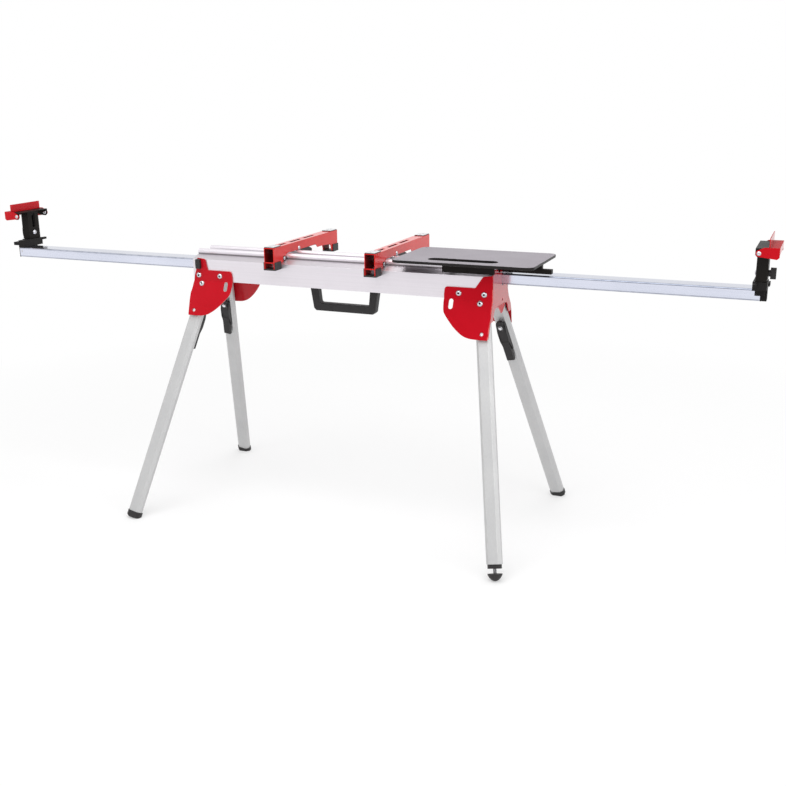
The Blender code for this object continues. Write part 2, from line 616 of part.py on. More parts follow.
for sx, sy, word in LEGS:
    frame = on_leg(sx, sy)
    pivot = frame.translation.copy()
    levelling = word == "front_right"
    tube_end = LEG_LENGTH - LEG_TIP_UP
    foot_tip = LEG_LENGTH - LEVEL_TIP_UP
    plug_end = foot_tip - LEVEL_FOOT_HEIGHT - LEVEL_STUD
    if levelling:
        tube_end = plug_end - LEVEL_PLUG
    leg = leg_bar(0.0, -LEG_HEAD, tube_end, frame)
    leg = cut(leg, leg_bar(-LEG_WALL, -LEG_HEAD - 0.01, tube_end + 0.01, frame))
    holes = [rod(frame @ Vector((0.0, -0.03, 0.0)), frame @ Vector((0.0, 0.03, 0.0)), BOLT_R + GAP, 14),
             rod(frame @ Vector((0.0, -0.03, LOCK_RADIUS)), frame @ Vector((0.0, 0.03, LOCK_RADIUS)),
                 PIN_R + GAP, 16)]
    finish(cut(leg, *holes), "leg_" + word, "grey", pivot)

    # foot cap: a rounded cap over the leg's end, or on the levelling leg a plug with a threaded foot
    if levelling:
        cap = join(leg_bar(-0.0026, tube_end + GAP, plug_end, frame),
                   leg_bar(-LEG_WALL - GAP, tube_end - 0.020, tube_end + 0.002, frame))
        cap = cut(cap, rod(frame @ Vector((0.0, 0.0, tube_end - 0.04)),
                           frame @ Vector((0.0, 0.0, LEG_LENGTH)), STUD_R + GAP, 16))
        dome = [(0.0, LEVEL_FOOT_HEIGHT), (0.0205, LEVEL_FOOT_HEIGHT), (0.0214, LEVEL_FOOT_HEIGHT - 0.0015),
                (0.0195, 0.0150), (0.0155, 0.0090), (0.0105, 0.0040), (0.0050, 0.0010), (0.0, 0.0)]
        tip_point = frame @ Vector((0.0, 0.0, foot_tip))
        up = frame.to_3x3() @ Vector((0.0, 0.0, -1.0))
        foot = turned(dome, tip_point, up, 24)
        stud = rod(frame @ Vector((0.0, 0.0, foot_tip - 0.014)),
                   frame @ Vector((0.0, 0.0, tube_end - 0.030)), STUD_R, 16)
        finish(join(foot, stud), "level_foot", "black", tip_point)
    else:
        cap = leg_bar(CAP_WALL, tube_end - 0.040, LEG_LENGTH, frame)
        bevel = cap.modifiers.new("round", "BEVEL")
        bevel.width = CAP_ROUND
        bevel.segments = 3
        bevel.limit_method = "ANGLE"
        bevel.angle_limit = radians(60)
        ground = frame @ Vector((0.0, 0.0, LEG_LENGTH))
        room = Vector((2 * LEG_WIDTH, 2 * LEG_WIDTH, 0.0))
        cap = cut(baked(cap), leg_bar(0.02, tube_end - 0.080, tube_end - CAP_LAP, frame))
        cap = cut(cap, leg_bar(GAP, tube_end - 0.070, tube_end + GAP, frame))
        cap = cut(cap, block(ground - room - Vector((0.0, 0.0, 2 * LEG_WIDTH)), ground + room))
    finish(cap, "foot_cap_" + word, "black", pivot)

    # lever base: a floor and two cheeks on the leg's inner face, with the hinge pin across
    skin = -FACE - GAP
    cheek_shape = [(BASE_TOP, skin), (BASE_END, skin), (BASE_END, skin - 0.007),
                   (LEVER_HINGE_S + 0.019, HINGE_V - 0.006), (LEVER_HINGE_S - 0.011, HINGE_V - 0.006),
                   (BASE_TOP, skin - 0.008)]
    cheek_mid = LEVER_HALF + 0.0004 + CHEEK / 2
    base = profile_on_leg([(BASE_FLOOR_S, skin), (BASE_END, skin), (BASE_END, skin - 0.003),
                           (BASE_FLOOR_S, skin - 0.003)], cheek_mid, frame)
    for t in (-1, 1):
        base = join(base, profile_on_leg(cheek_shape, CHEEK / 2, frame, t * cheek_mid))
    base = join(base, rod(frame @ Vector((-cheek_mid, HINGE_V, LEVER_HINGE_S)),
                          frame @ Vector((cheek_mid, HINGE_V, LEVER_HINGE_S)), LEVER_PIN_R, 12))
    finish(base, "lever_base_" + word, "black", pivot)

    flat = [(LEVER_TOP, LEVER_LEG_V - 0.0040), (LEVER_HINGE_S - 0.004, LEVER_LEG_V),
            (LEVER_END - 0.003, LEVER_LEG_V), (LEVER_END, LEVER_LEG_V - 0.004),
            (LEVER_END - 0.002, LEVER_BACK_V), (LEVER_TOP + 0.003, LEVER_BACK_V),
            (LEVER_TOP, LEVER_BACK_V + 0.002)]
    # drawn squeezed, with the pin clear of the plate, so the leg is free to fold
    lever = profile_on_leg(flat, LEVER_HALF, frame)
    hinge = frame @ Vector((0.0, HINGE_V, LEVER_HINGE_S))
    eye = rod(frame @ Vector((-0.03, HINGE_V, LEVER_HINGE_S)), frame @ Vector((0.03, HINGE_V, LEVER_HINGE_S)),
              LEVER_PIN_R + GAP, 12)
    stem_hole = rod(frame @ Vector((0.0, -0.06, LOCK_RADIUS)),
                    frame @ Vector((0.0, -FACE + 0.005, LOCK_RADIUS)), PIN_STEM_R + 0.0022, 14)
    lever = cut(lever, eye, stem_hole)
    finish(lever, "lever_" + word, "black", hinge)

    # lock pin: blunt tip for the plate's hole, thin stem through the lever, head behind it
    back = released(LOCK_RADIUS - 0.008, LEVER_BACK_V)[1]
    head = min(back, released(LOCK_RADIUS + 0.008, LEVER_BACK_V)[1]) - GAP
    profile = [(0.0, LEG_DEPTH + 0.0008), (PIN_R - 0.0012, LEG_DEPTH + 0.0008), (PIN_R, LEG_DEPTH - 0.0004),
               (PIN_R, -FACE - 0.0005), (PIN_STEM_R, -FACE - 0.0005), (PIN_STEM_R, head), (0.0072, head),
               (0.0072, head - 0.0018), (0.0050, head - 0.0028), (0.0, head - 0.0030)]
    profile = [(r, v - PIN_TRAVEL) for r, v in profile]
    lock = frame @ Vector((0.0, 0.0, LOCK_RADIUS))
    outward = frame.to_3x3() @ Vector((0.0, 1.0, 0.0))
    finish(turned(profile, lock, outward, 16), "lock_pin_" + word, "steel", lock)

# Pull-out tubes with their work supports
POST_HALF_X = COLUMN_HALF_X - COLUMN_WALL - RUN
POST_HALF_Y = COLUMN_HALF_Y - COLUMN_WALL - RUN
HEAD_SHEET = 0.003
HEAD_LOW = HEAD_TOP - HEAD_SHEET
COLUMN_IN = COLUMN_X - COLUMN_HALF_X
COLUMN_OUT = COLUMN_X + COLUMN_HALF_X
POST_TOP = HEAD_LOW - 0.007
EAR_Y = HEAD_HALF_Y + RUN
for side, word in SIDES:
    place = half_turn(side)
    start = TUBE_END - TUBE_LENGTH
    tube = block((start, TUBE_IN_Y, TUBE_Z - TUBE_HEIGHT / 2), (TUBE_END, TUBE_OUT_Y, TUBE_TOP))
    tube = cut(tube, block((start - 0.01, TUBE_IN_Y + TUBE_WALL, TUBE_Z - TUBE_HEIGHT / 2 + TUBE_WALL),
                           (TUBE_END + 0.01, TUBE_OUT_Y - TUBE_WALL, TUBE_TOP - TUBE_WALL)))
    finish(moved(tube, place), "pull_tube_" + word, "chrome", place @ Vector((TUBE_END, TUBE_Y, TUBE_Z)))

    # base: plug in the tube, end cover, saddle on the tube and post for the column
    fit = TUBE_WALL + GAP
    saddle_low = TUBE_TOP + GAP
    saddle_top = COLUMN_LOW - RUN
    cover = TUBE_END + 0.0033
    nose = TUBE_END + 0.017
    nose_y = TUBE_IN_Y + 0.027
    tube_low = TUBE_Z - TUBE_HEIGHT / 2
    base = block((COLUMN_IN - 0.006, -COLUMN_HALF_Y - 0.002, saddle_low), (cover, TUBE_OUT_Y, saddle_top))
    base = join(base, block((COLUMN_X, -COLUMN_HALF_Y - 0.002, saddle_low + 0.0008),
                            (nose, nose_y, saddle_top - 0.0006)))
    base = join(base, block((TUBE_END + GAP, TUBE_IN_Y, tube_low),
                            (cover - 0.0004, TUBE_OUT_Y - 0.0005, saddle_top - 0.004)))
    base = join(base, block((TUBE_END + 0.001, TUBE_IN_Y + 0.0006, tube_low + 0.0005),
                            (nose - 0.0005, nose_y - 0.0006, saddle_top - 0.005)))
    base = join(base, block((TUBE_END - 0.040, TUBE_IN_Y + fit, tube_low + fit),
                            (TUBE_END + 0.0025, TUBE_OUT_Y - fit, TUBE_TOP - fit)))

    # lip along the tube's inner side, wing on the saddle and the paddle it is gripped by
    reach = 0.0205 if side > 0 else 0.036
    base = join(base, block((COLUMN_IN, TUBE_IN_Y - RUN - 0.010, TUBE_TOP - 0.016),
                            (TUBE_END + 0.012, TUBE_IN_Y - RUN, saddle_top - 0.006)))
    base = join(base, block((COLUMN_IN - 0.003, -COLUMN_HALF_Y - 0.0265, saddle_top - 0.009),
                            (COLUMN_IN + 0.006, -COLUMN_HALF_Y, saddle_top - 0.002)))
    base = join(base, block((TUBE_END - 0.002, nose_y - 0.006, saddle_low + 0.004),
                            (TUBE_END + reach, nose_y + 0.022, saddle_low + 0.0145)))
    post = block((COLUMN_X - POST_HALF_X, -POST_HALF_Y, saddle_low + 0.010),
                 (COLUMN_X + POST_HALF_X, POST_HALF_Y, POST_TOP))
    post = cut(post, block((COLUMN_X - 0.03, -KNOB_BOLT_R - RUN, KNOB_Z - KNOB_BOLT_R - RUN),
                           (COLUMN_X + 0.03, KNOB_BOLT_R + RUN, KNOB_Z + COLUMN_TRAVEL + KNOB_BOLT_R + RUN)))
    finish(moved(join(base, post), place), "support_base_" + word, "black",
           place @ Vector((TUBE_END, TUBE_Y, TUBE_Z)))

    # column with its head plate and the ears that carry the flip stop
    column = block((COLUMN_IN, -COLUMN_HALF_Y, COLUMN_LOW), (COLUMN_OUT, COLUMN_HALF_Y, HEAD_TOP - 0.001))
    column = join(column, block((HEAD_IN_X, -HEAD_HALF_Y, HEAD_LOW), (HEAD_OUT_X, HEAD_HALF_Y, HEAD_TOP)))
    ear = [(HEAD_IN_X, HEAD_TOP - 0.001), (HEAD_IN_X, STOP_PIVOT_Z - 0.004),
           (STOP_PIVOT_X - 0.003, STOP_PIVOT_Z - 0.0105), (STOP_PIVOT_X + 0.005, STOP_PIVOT_Z - 0.0105),
           (HEAD_OUT_X - 0.004, STOP_PIVOT_Z - 0.0080), (HEAD_OUT_X, STOP_PIVOT_Z - 0.004),
           (HEAD_OUT_X, HEAD_TOP - 0.001)]
    for sy in (-1, 1):
        ear_y = sy * (HEAD_HALF_Y - HEAD_SHEET / 2)
        column = join(column, outline(ear, HEAD_SHEET, axes(X, Z, Y, (0.0, ear_y, 0.0))))
    column = cut(column, block((COLUMN_IN + COLUMN_WALL, -COLUMN_HALF_Y + COLUMN_WALL, COLUMN_LOW - 0.01),
                               (COLUMN_OUT - COLUMN_WALL, COLUMN_HALF_Y - COLUMN_WALL, HEAD_LOW - 0.002)))
    holes = [rod((COLUMN_IN - 0.01, 0.0, KNOB_Z), (COLUMN_OUT + 0.01, 0.0, KNOB_Z), KNOB_BOLT_R + GAP, 14),
             block((COLUMN_IN - 0.01, -0.007, KNOB_Z + 0.018), (COLUMN_X, 0.007, HEAD_LOW - 0.006)),
             block((COLUMN_X, -0.007, KNOB_Z + 0.026), (COLUMN_OUT + 0.01, 0.007, HEAD_LOW - 0.006))]
    for sy in (-1, 1):
        holes.append(rod((STOP_PIVOT_X, sy * (HEAD_HALF_Y - 0.01), STOP_PIVOT_Z),
                         (STOP_PIVOT_X, sy * (HEAD_HALF_Y + 0.01), STOP_PIVOT_Z), 0.003 + GAP, 12))
    finish(moved(cut(column, *holes), place), "column_" + word, "black",
           place @ Vector((COLUMN_X, 0.0, COLUMN_LOW)))

    # wing knob on its screw, which crosses the column and ends in a round head on the inner face
    knob_in = COLUMN_OUT + RUN
    wing = [(-0.0052, 0.0145), (-0.0062, 0.004), (-0.0062, -0.004), (-0.0052, -0.0145), (0.0052, -0.0145),
            (0.0062, -0.004), (0.0062, 0.004), (0.0052, 0.0145)]
    profile = [(0.0, 0.0046), (0.0050, 0.0040), (0.0080, 0.0018), (0.0085, RUN), (KNOB_BOLT_R, RUN),
               (KNOB_BOLT_R, -2 * COLUMN_HALF_X - RUN), (0.0085, -2 * COLUMN_HALF_X - RUN),
               (0.0085, -2 * COLUMN_HALF_X - RUN - 0.008), (0.0, -2 * COLUMN_HALF_X - RUN - 0.008)]
    knob = turned(profile, (COLUMN_IN, 0.0, KNOB_Z), (-1.0, 0.0, 0.0), 18)
    knob = join(knob, outline(wing, 0.014, axes(Y, Z, X, (knob_in + 0.012, 0.0, KNOB_Z))))
    finish(moved(knob, place), "knob_" + word, "black", place @ Vector((knob_in, 0.0, KNOB_Z)))

    # flip stop: fence, top and outer flanges and two ears
    floor_z = HEAD_TOP + 0.0005
    stop = block((STOP_X, -HEAD_HALF_Y, floor_z), (STOP_X + STOP_SHEET, HEAD_HALF_Y, STOP_TOP))
    stop = join(stop, block((STOP_X, -EAR_Y - STOP_SHEET / 2, floor_z),
                            (STOP_OUT_X, EAR_Y + STOP_SHEET / 2, floor_z + STOP_SHEET)))
    stop = join(stop, block((STOP_OUT_X - STOP_SHEET, -EAR_Y - STOP_SHEET / 2, HEAD_TOP - 0.016),
                            (STOP_OUT_X, EAR_Y + STOP_SHEET / 2, floor_z + STOP_SHEET / 2)))
    ear = arc(STOP_PIVOT_X, STOP_PIVOT_Z, 0.0085, 120, 270, 6)
    ear += [(STOP_OUT_X - 0.006, HEAD_TOP - 0.027), (STOP_OUT_X, HEAD_TOP - 0.022),
            (STOP_OUT_X, floor_z + STOP_SHEET), (STOP_PIVOT_X + 0.012, floor_z + STOP_SHEET)]
    for sy in (-1, 1):
        stop = join(stop, outline(ear, STOP_SHEET, axes(X, Z, Y, (0.0, sy * (EAR_Y + STOP_SHEET / 2), 0.0))))
    # each ear carries its own rivet, which turns in the head's ear
    for sy in (-1, 1):
        out = EAR_Y + STOP_SHEET
        back = HEAD_HALF_Y - HEAD_SHEET - RUN
        profile = [(0.0, out + 0.0024), (0.0040, out + 0.0020), (0.0062, out - 0.0005), (0.003, out - 0.0005),
                   (0.003, back), (0.0055, back), (0.0055, back - 0.002), (0.0, back - 0.002)]
        stop = join(stop, turned(profile, (STOP_PIVOT_X, 0.0, STOP_PIVOT_Z), (0.0, sy, 0.0), 14))
    finish(moved(stop, place), "flip_stop_" + word, "red", place @ Vector((STOP_PIVOT_X, 0.0, STOP_PIVOT_Z)))

    # tube lock: a small turning grip whose shaft meets the tube's side
    grip = outline([(-0.0075, -0.0148), (0.0075, -0.0148), (0.0082, 0.0), (0.0075, 0.0148), (-0.0075, 0.0148),
                    (-0.0082, 0.0)], 0.010, axes(X, Z, Y, (LOCK_X, PLATE_Y + RUN + 0.005, LOCK_Z)))
    shaft = rod((LOCK_X, PLATE_Y + 0.006, LOCK_Z), (LOCK_X, TUBE_OUT_Y + 0.0010, LOCK_Z), 0.004, 14)
    finish(moved(join(grip, shaft), place), "tube_lock_" + word, "black",
           place @ Vector((LOCK_X, PLATE_Y, LOCK_Z)))

# Saw clamps
seat = RAIL_TOP + CLAMP_SEAT
hook_y = -RAIL_Y - RAIL_RADIUS - 0.0012
lift = 0.0012
front_edge = -BEAM_HALF_WIDTH - 0.0012
web = [(CLAMP_FRONT, CLAMP_TOP), (CLAMP_REAR, CLAMP_TOP), (CLAMP_REAR, CLAMP_LOW),
       (CLAMP_REAR - 0.041, CLAMP_LOW), (CLAMP_REAR - 0.052, CLAMP_TOP - 0.0402),
       (CLAMP_REAR - 0.112, CLAMP_TOP - 0.037), (CLAMP_REAR - 0.145, CLAMP_TOP - 0.037),
       (CLAMP_REAR - 0.155, seat), (-RAIL_Y - 0.004, seat),
       (hook_y, seat - 0.006), (hook_y, shoulder(hook_y) + lift), (front_edge, BEAM_SHOULDER + lift - 0.0008),
       (front_edge - 0.001, CLAMP_LOW), (CLAMP_FRONT, CLAMP_LOW)]
inside = CLAMP_HALF - CLAMP_SHEET
for middle, word in ((CLAMP_LEFT_X, "left"), (CLAMP_RIGHT_X, "right")):
    home = Vector((middle, 0.0, RAIL_Z))
    channel = outline(web, 2 * CLAMP_HALF, axes(Y, Z, X, (middle, 0.0, 0.0)))
    channel = cut(channel, block((middle - inside, CLAMP_FRONT - 0.01, CLAMP_LOW - 0.05),
                                 (middle + inside, CLAMP_REAR + 0.01, CLAMP_TOP - CLAMP_SHEET)))
    holes = [block((middle - 0.005, y0, CLAMP_TOP - 0.01), (middle + 0.005, y1, CLAMP_TOP + 0.01))
             for y0, y1 in ((-0.058, -0.012), (0.015, 0.085), (0.105, 0.175))]
    holes.append(rod((middle - 0.03, CAM_BOLT_Y, CAM_BOLT_Z), (middle + 0.03, CAM_BOLT_Y, CAM_BOLT_Z),
                     0.003 + GAP, 14))
    channel = cut(channel, *holes)
    out = CLAMP_HALF
    profile = [(0.0, out + 0.0030), (0.0035, out + 0.0026), (0.0055, out + 0.0010), (0.0058, out - 0.0005),
               (0.003, out - 0.0005), (0.003, -out + 0.0005), (0.0058, -out + 0.0005), (0.0058, -out - 0.0020),
               (0.0, -out - 0.0030)]
    # a bar joins the webs over each shoe, and the hook pin is riveted in before the front rail
    for y0, y1 in ((CLAMP_FRONT + 0.002, CLAMP_FRONT + 0.006), (CLAMP_REAR - 0.030, CLAMP_REAR - 0.026)):
        channel = join(channel, block((middle - CLAMP_HALF + 0.001, y0, SHOE_TOP - 0.003),
                                      (middle + CLAMP_HALF - 0.001, y1, SHOE_TOP)))
    channel = join(channel, turned(profile, (middle, HOOK_BOLT_Y, HOOK_BOLT_Z), (1.0, 0.0, 0.0), 14))
    finish(channel, "saw_clamp_" + word, "red", home)

    pads = ((CLAMP_FRONT, CLAMP_FRONT + 0.0476, "front"), (CLAMP_REAR - 0.0476, CLAMP_REAR, "rear"))
    for y0, y1, end in pads:
        pad = block((middle - CLAMP_HALF, y0, CLAMP_TOP + GAP),
                    (middle + CLAMP_HALF, y1, CLAMP_TOP + PAD_THICK))
        finish(pad, "clamp_pad_" + end + "_" + word, "steel", home)

    shoes = ((CLAMP_FRONT, front_edge - 0.0025, "front"), (CLAMP_REAR - 0.038, CLAMP_REAR, "rear"))
    for y0, y1, end in shoes:
        outer = CLAMP_HALF + GAP + 0.003
        shoe = block((middle - outer, y0, SHOE_LOW), (middle + outer, y1, SHOE_TOP))
        room = block((middle - CLAMP_HALF - GAP, y0 - 0.01, CLAMP_LOW - GAP),
                     (middle + CLAMP_HALF + GAP, y1 + 0.01, SHOE_TOP + 0.01))
        finish(cut(shoe, room), "clamp_shoe_" + end + "_" + word, "black", home)

    # cam lever between the webs: eye on its pin, nose behind the rear rail, long tail
    eye = arc(CAM_BOLT_Y, CAM_BOLT_Z, 0.0070, 60, 235, 7)
    tail = [(0.0030, -0.0125), (0.0035, -0.0195), (0.0110, -0.0210), (0.0180, -0.0205), (0.0870, -0.0245),
            (0.0940, -0.0210), (0.0920, -0.0145), (0.0560, 0.0), (0.0460, 0.0012)]
    tail = [(CAM_BOLT_Y + u, CAM_BOLT_Z + v) for u, v in tail]
    lever = outline(eye + tail, 2 * (inside - 0.0006), axes(Y, Z, X, (middle, 0.0, 0.0)))
    out = CLAMP_HALF + RUN
    profile = [(0.0, out + 0.0030), (0.0035, out + 0.0026), (0.0055, out + 0.0010), (0.0058, out),
               (0.003, out), (0.003, -out), (0.0058, -out), (0.0058, -out - 0.0025), (0.0, -out - 0.0030)]
    lever = join(lever, turned(profile, (middle, CAM_BOLT_Y, CAM_BOLT_Z), (1.0, 0.0, 0.0), 14))
    finish(lever, "cam_lever_" + word, "black", (middle, CAM_BOLT_Y, CAM_BOLT_Z))

# Side table
under = TABLE_TOP - TABLE_THICK
home = Vector(((TABLE_X0 + TABLE_X1) / 2, 0.0, under))
c = TABLE_CORNER
shape = arc(TABLE_X1 - c, TABLE_HALF_Y - c, c, 0, 90, 5)
shape += arc(TABLE_X0 + c, TABLE_HALF_Y - c, c, 90, 180, 5)
shape += arc(TABLE_X0 + c, -TABLE_HALF_Y + c, c, 180, 270, 5)
shape += arc(TABLE_X1 - c, -TABLE_HALF_Y + c, c, 270, 360, 5)
panel = outline(shape, TABLE_THICK, axes(X, Y, Z, (0.0, 0.0, under + TABLE_THICK / 2)))
ring = arc(SLOT_X1 - SLOT_HALF, SLOT_Y, SLOT_HALF, -90, 90, 8)
ring += arc(SLOT_X0 + SLOT_HALF, SLOT_Y, SLOT_HALF, 90, 270, 8)
holes = [outline(ring, 0.05, axes(X, Y, Z, (0.0, 0.0, TABLE_TOP)))]
finish(cut(panel, *holes), "table_panel", "table", home)

# table carrier: bar between the rails, two cross bars over them and a side rail outside each shoulder
over = RAIL_TOP + RUN
reach = PLATE_Y + 0.003 + UNDER_RAIL_THICK
bar = block((TABLE_BAR_X0, TABLE_BAR_Y0, DECK + RUN), (TABLE_BAR_X1, TABLE_BAR_Y1, TABLE_BAR_TOP))
crosses = ((UNDER_RAIL_X0 + 0.004, UNDER_RAIL_X0 + 0.024), (END_IN - 0.024, END_IN - 0.003))
risers = crosses + ((TABLE_BAR_X1 - 0.066, TABLE_BAR_X1 - 0.026),)
for x0, x1 in risers:
    bar = join(bar, block((x0 + 0.002, TABLE_BAR_Y0 + 0.002, DECK + 0.004),
                          (x1 - 0.002, TABLE_BAR_Y1 - 0.002, under - GAP)))
carrier = bar
for x0, x1 in crosses:
    carrier = join(carrier, block((x0, -reach + 0.001, over), (x1, reach - 0.001, under - 2 * GAP)))
for sy in (-1, 1):
    carrier = join(carrier, block((UNDER_RAIL_X0, sy * (reach - UNDER_RAIL_THICK), UNDER_RAIL_LOW),
                                  (UNDER_RAIL_X1, sy * reach, over + 0.002)))
finish(carrier, "table_carrier", "black", home)
bpy.context.view_layer.update()
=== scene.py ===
"""Folding miter saw stand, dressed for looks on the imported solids. Metres, +Z up, front is -Y."""

import json
from math import cos, pi, radians, sin

import bmesh
import bpy
from mathutils import Matrix, Vector

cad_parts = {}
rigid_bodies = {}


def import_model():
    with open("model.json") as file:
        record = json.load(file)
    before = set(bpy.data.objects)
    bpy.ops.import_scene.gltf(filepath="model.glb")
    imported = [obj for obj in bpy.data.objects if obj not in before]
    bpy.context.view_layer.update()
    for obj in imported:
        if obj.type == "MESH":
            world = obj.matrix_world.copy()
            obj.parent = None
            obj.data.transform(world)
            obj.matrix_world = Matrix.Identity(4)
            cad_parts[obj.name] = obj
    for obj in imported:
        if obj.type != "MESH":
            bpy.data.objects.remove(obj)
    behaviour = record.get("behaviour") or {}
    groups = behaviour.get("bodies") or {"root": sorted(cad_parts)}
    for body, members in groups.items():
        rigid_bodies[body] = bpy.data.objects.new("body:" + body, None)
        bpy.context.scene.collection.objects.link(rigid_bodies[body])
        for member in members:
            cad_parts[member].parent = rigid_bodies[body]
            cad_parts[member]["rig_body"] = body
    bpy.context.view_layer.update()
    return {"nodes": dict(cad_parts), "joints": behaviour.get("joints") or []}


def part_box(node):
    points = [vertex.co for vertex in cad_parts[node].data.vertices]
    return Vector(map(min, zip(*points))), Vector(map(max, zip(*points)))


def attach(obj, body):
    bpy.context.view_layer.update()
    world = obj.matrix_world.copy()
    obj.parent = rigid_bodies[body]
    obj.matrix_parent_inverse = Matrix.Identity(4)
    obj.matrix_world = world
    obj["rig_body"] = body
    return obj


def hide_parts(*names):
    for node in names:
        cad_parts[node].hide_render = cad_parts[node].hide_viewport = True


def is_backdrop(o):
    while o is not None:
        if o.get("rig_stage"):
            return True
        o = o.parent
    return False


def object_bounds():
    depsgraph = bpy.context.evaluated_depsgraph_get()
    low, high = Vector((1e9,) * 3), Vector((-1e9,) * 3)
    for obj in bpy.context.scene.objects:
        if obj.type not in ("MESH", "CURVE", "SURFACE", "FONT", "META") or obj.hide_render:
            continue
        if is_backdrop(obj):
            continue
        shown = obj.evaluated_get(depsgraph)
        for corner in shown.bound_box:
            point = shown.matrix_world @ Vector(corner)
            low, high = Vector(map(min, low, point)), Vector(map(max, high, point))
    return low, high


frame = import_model()
solids = frame["nodes"]

# Main beam: one long aluminium extrusion with two round rails drawn along its top. It leaves the
# die with faint lines along its length and is anodised to a pale satin. Its cut edges are broken.
def linear(rgb):
    """A display colour, 0 to 255, as linear light."""
    parts = [c / 255.0 for c in rgb]
    return [c / 12.92 if c <= 0.04045 else ((c + 0.055) / 1.055) ** 2.4 for c in parts] + [1.0]


def grain_group():
    """Uneven tone of a finish: a coarse cloud and a fine grain, drawn out along one direction."""
    tree = bpy.data.node_groups.get("finish_grain")
    if tree:
        return tree
    tree = bpy.data.node_groups.new("finish_grain", "ShaderNodeTree")
    for name, kind in (("Cloud Scale", "NodeSocketFloat"), ("Grain Scale", "NodeSocketFloat"),
                       ("Stretch", "NodeSocketVector")):
        tree.interface.new_socket(name, in_out="INPUT", socket_type=kind)
    for name in ("Cloud", "Grain"):
        tree.interface.new_socket(name, in_out="OUTPUT", socket_type="NodeSocketFloat")
    start = tree.nodes.new("NodeGroupInput")
    end = tree.nodes.new("NodeGroupOutput")
    place = tree.nodes.new("ShaderNodeTexCoord")
    drawn = tree.nodes.new("ShaderNodeVectorMath")
    drawn.operation = "MULTIPLY"
    tree.links.new(place.outputs["Object"], drawn.inputs[0])
    tree.links.new(start.outputs["Stretch"], drawn.inputs[1])
    for socket, scale, source, detail in (("Cloud", "Cloud Scale", place.outputs["Object"], 3.0),
                                          ("Grain", "Grain Scale", drawn.outputs[0], 5.0)):
        noise = tree.nodes.new("ShaderNodeTexNoise")
        noise.inputs["Detail"].default_value = detail
        noise.inputs["Roughness"].default_value = 0.6
        tree.links.new(source, noise.inputs["Vector"])
        tree.links.new(start.outputs[scale], noise.inputs["Scale"])
        spread = tree.nodes.new("ShaderNodeMapRange")
        spread.inputs["From Min"].default_value = 0.32
        spread.inputs["From Max"].default_value = 0.68
        tree.links.new(noise.outputs["Fac"], spread.inputs["Value"])
        tree.links.new(spread.outputs["Result"], end.inputs[socket])
    return tree


def edge_wear_and_sheen_group():
    """Where handling has polished or scuffed the broken edges, and on the red coats a painted highlight along
    them: the edge mark, made patchy.
    """
    tree = bpy.data.node_groups.get("edge_rub")
    if tree:
        return tree
    tree = bpy.data.node_groups.new("edge_rub", "ShaderNodeTree")
    tree.interface.new_socket("Amount", in_out="INPUT", socket_type="NodeSocketFloat")
    tree.interface.new_socket("Patch Scale", in_out="INPUT", socket_type="NodeSocketFloat")
    tree.interface.new_socket("Rub", in_out="OUTPUT", socket_type="NodeSocketFloat")
    start = tree.nodes.new("NodeGroupInput")
    end = tree.nodes.new("NodeGroupOutput")
    place = tree.nodes.new("ShaderNodeTexCoord")
    noise = tree.nodes.new("ShaderNodeTexNoise")
    noise.inputs["Detail"].default_value = 4.0
    tree.links.new(place.outputs["Object"], noise.inputs["Vector"])
    tree.links.new(start.outputs["Patch Scale"], noise.inputs["Scale"])
    patch = tree.nodes.new("ShaderNodeMapRange")
    patch.inputs["From Min"].default_value = 0.40
    patch.inputs["From Max"].default_value = 0.62
    tree.links.new(noise.outputs["Fac"], patch.inputs["Value"])
    mark = tree.nodes.new("ShaderNodeAttribute")
    mark.attribute_name = "edge"
    both = tree.nodes.new("ShaderNodeMath")
    both.operation = "MULTIPLY"
    tree.links.new(mark.outputs["Fac"], both.inputs[0])
    tree.links.new(patch.outputs["Result"], both.inputs[1])
    scaled = tree.nodes.new("ShaderNodeMath")
    scaled.operation = "MULTIPLY"
    tree.links.new(both.outputs[0], scaled.inputs[0])
    tree.links.new(start.outputs["Amount"], scaled.inputs[1])
    tree.links.new(scaled.outputs[0], end.inputs["Rub"])
    return tree


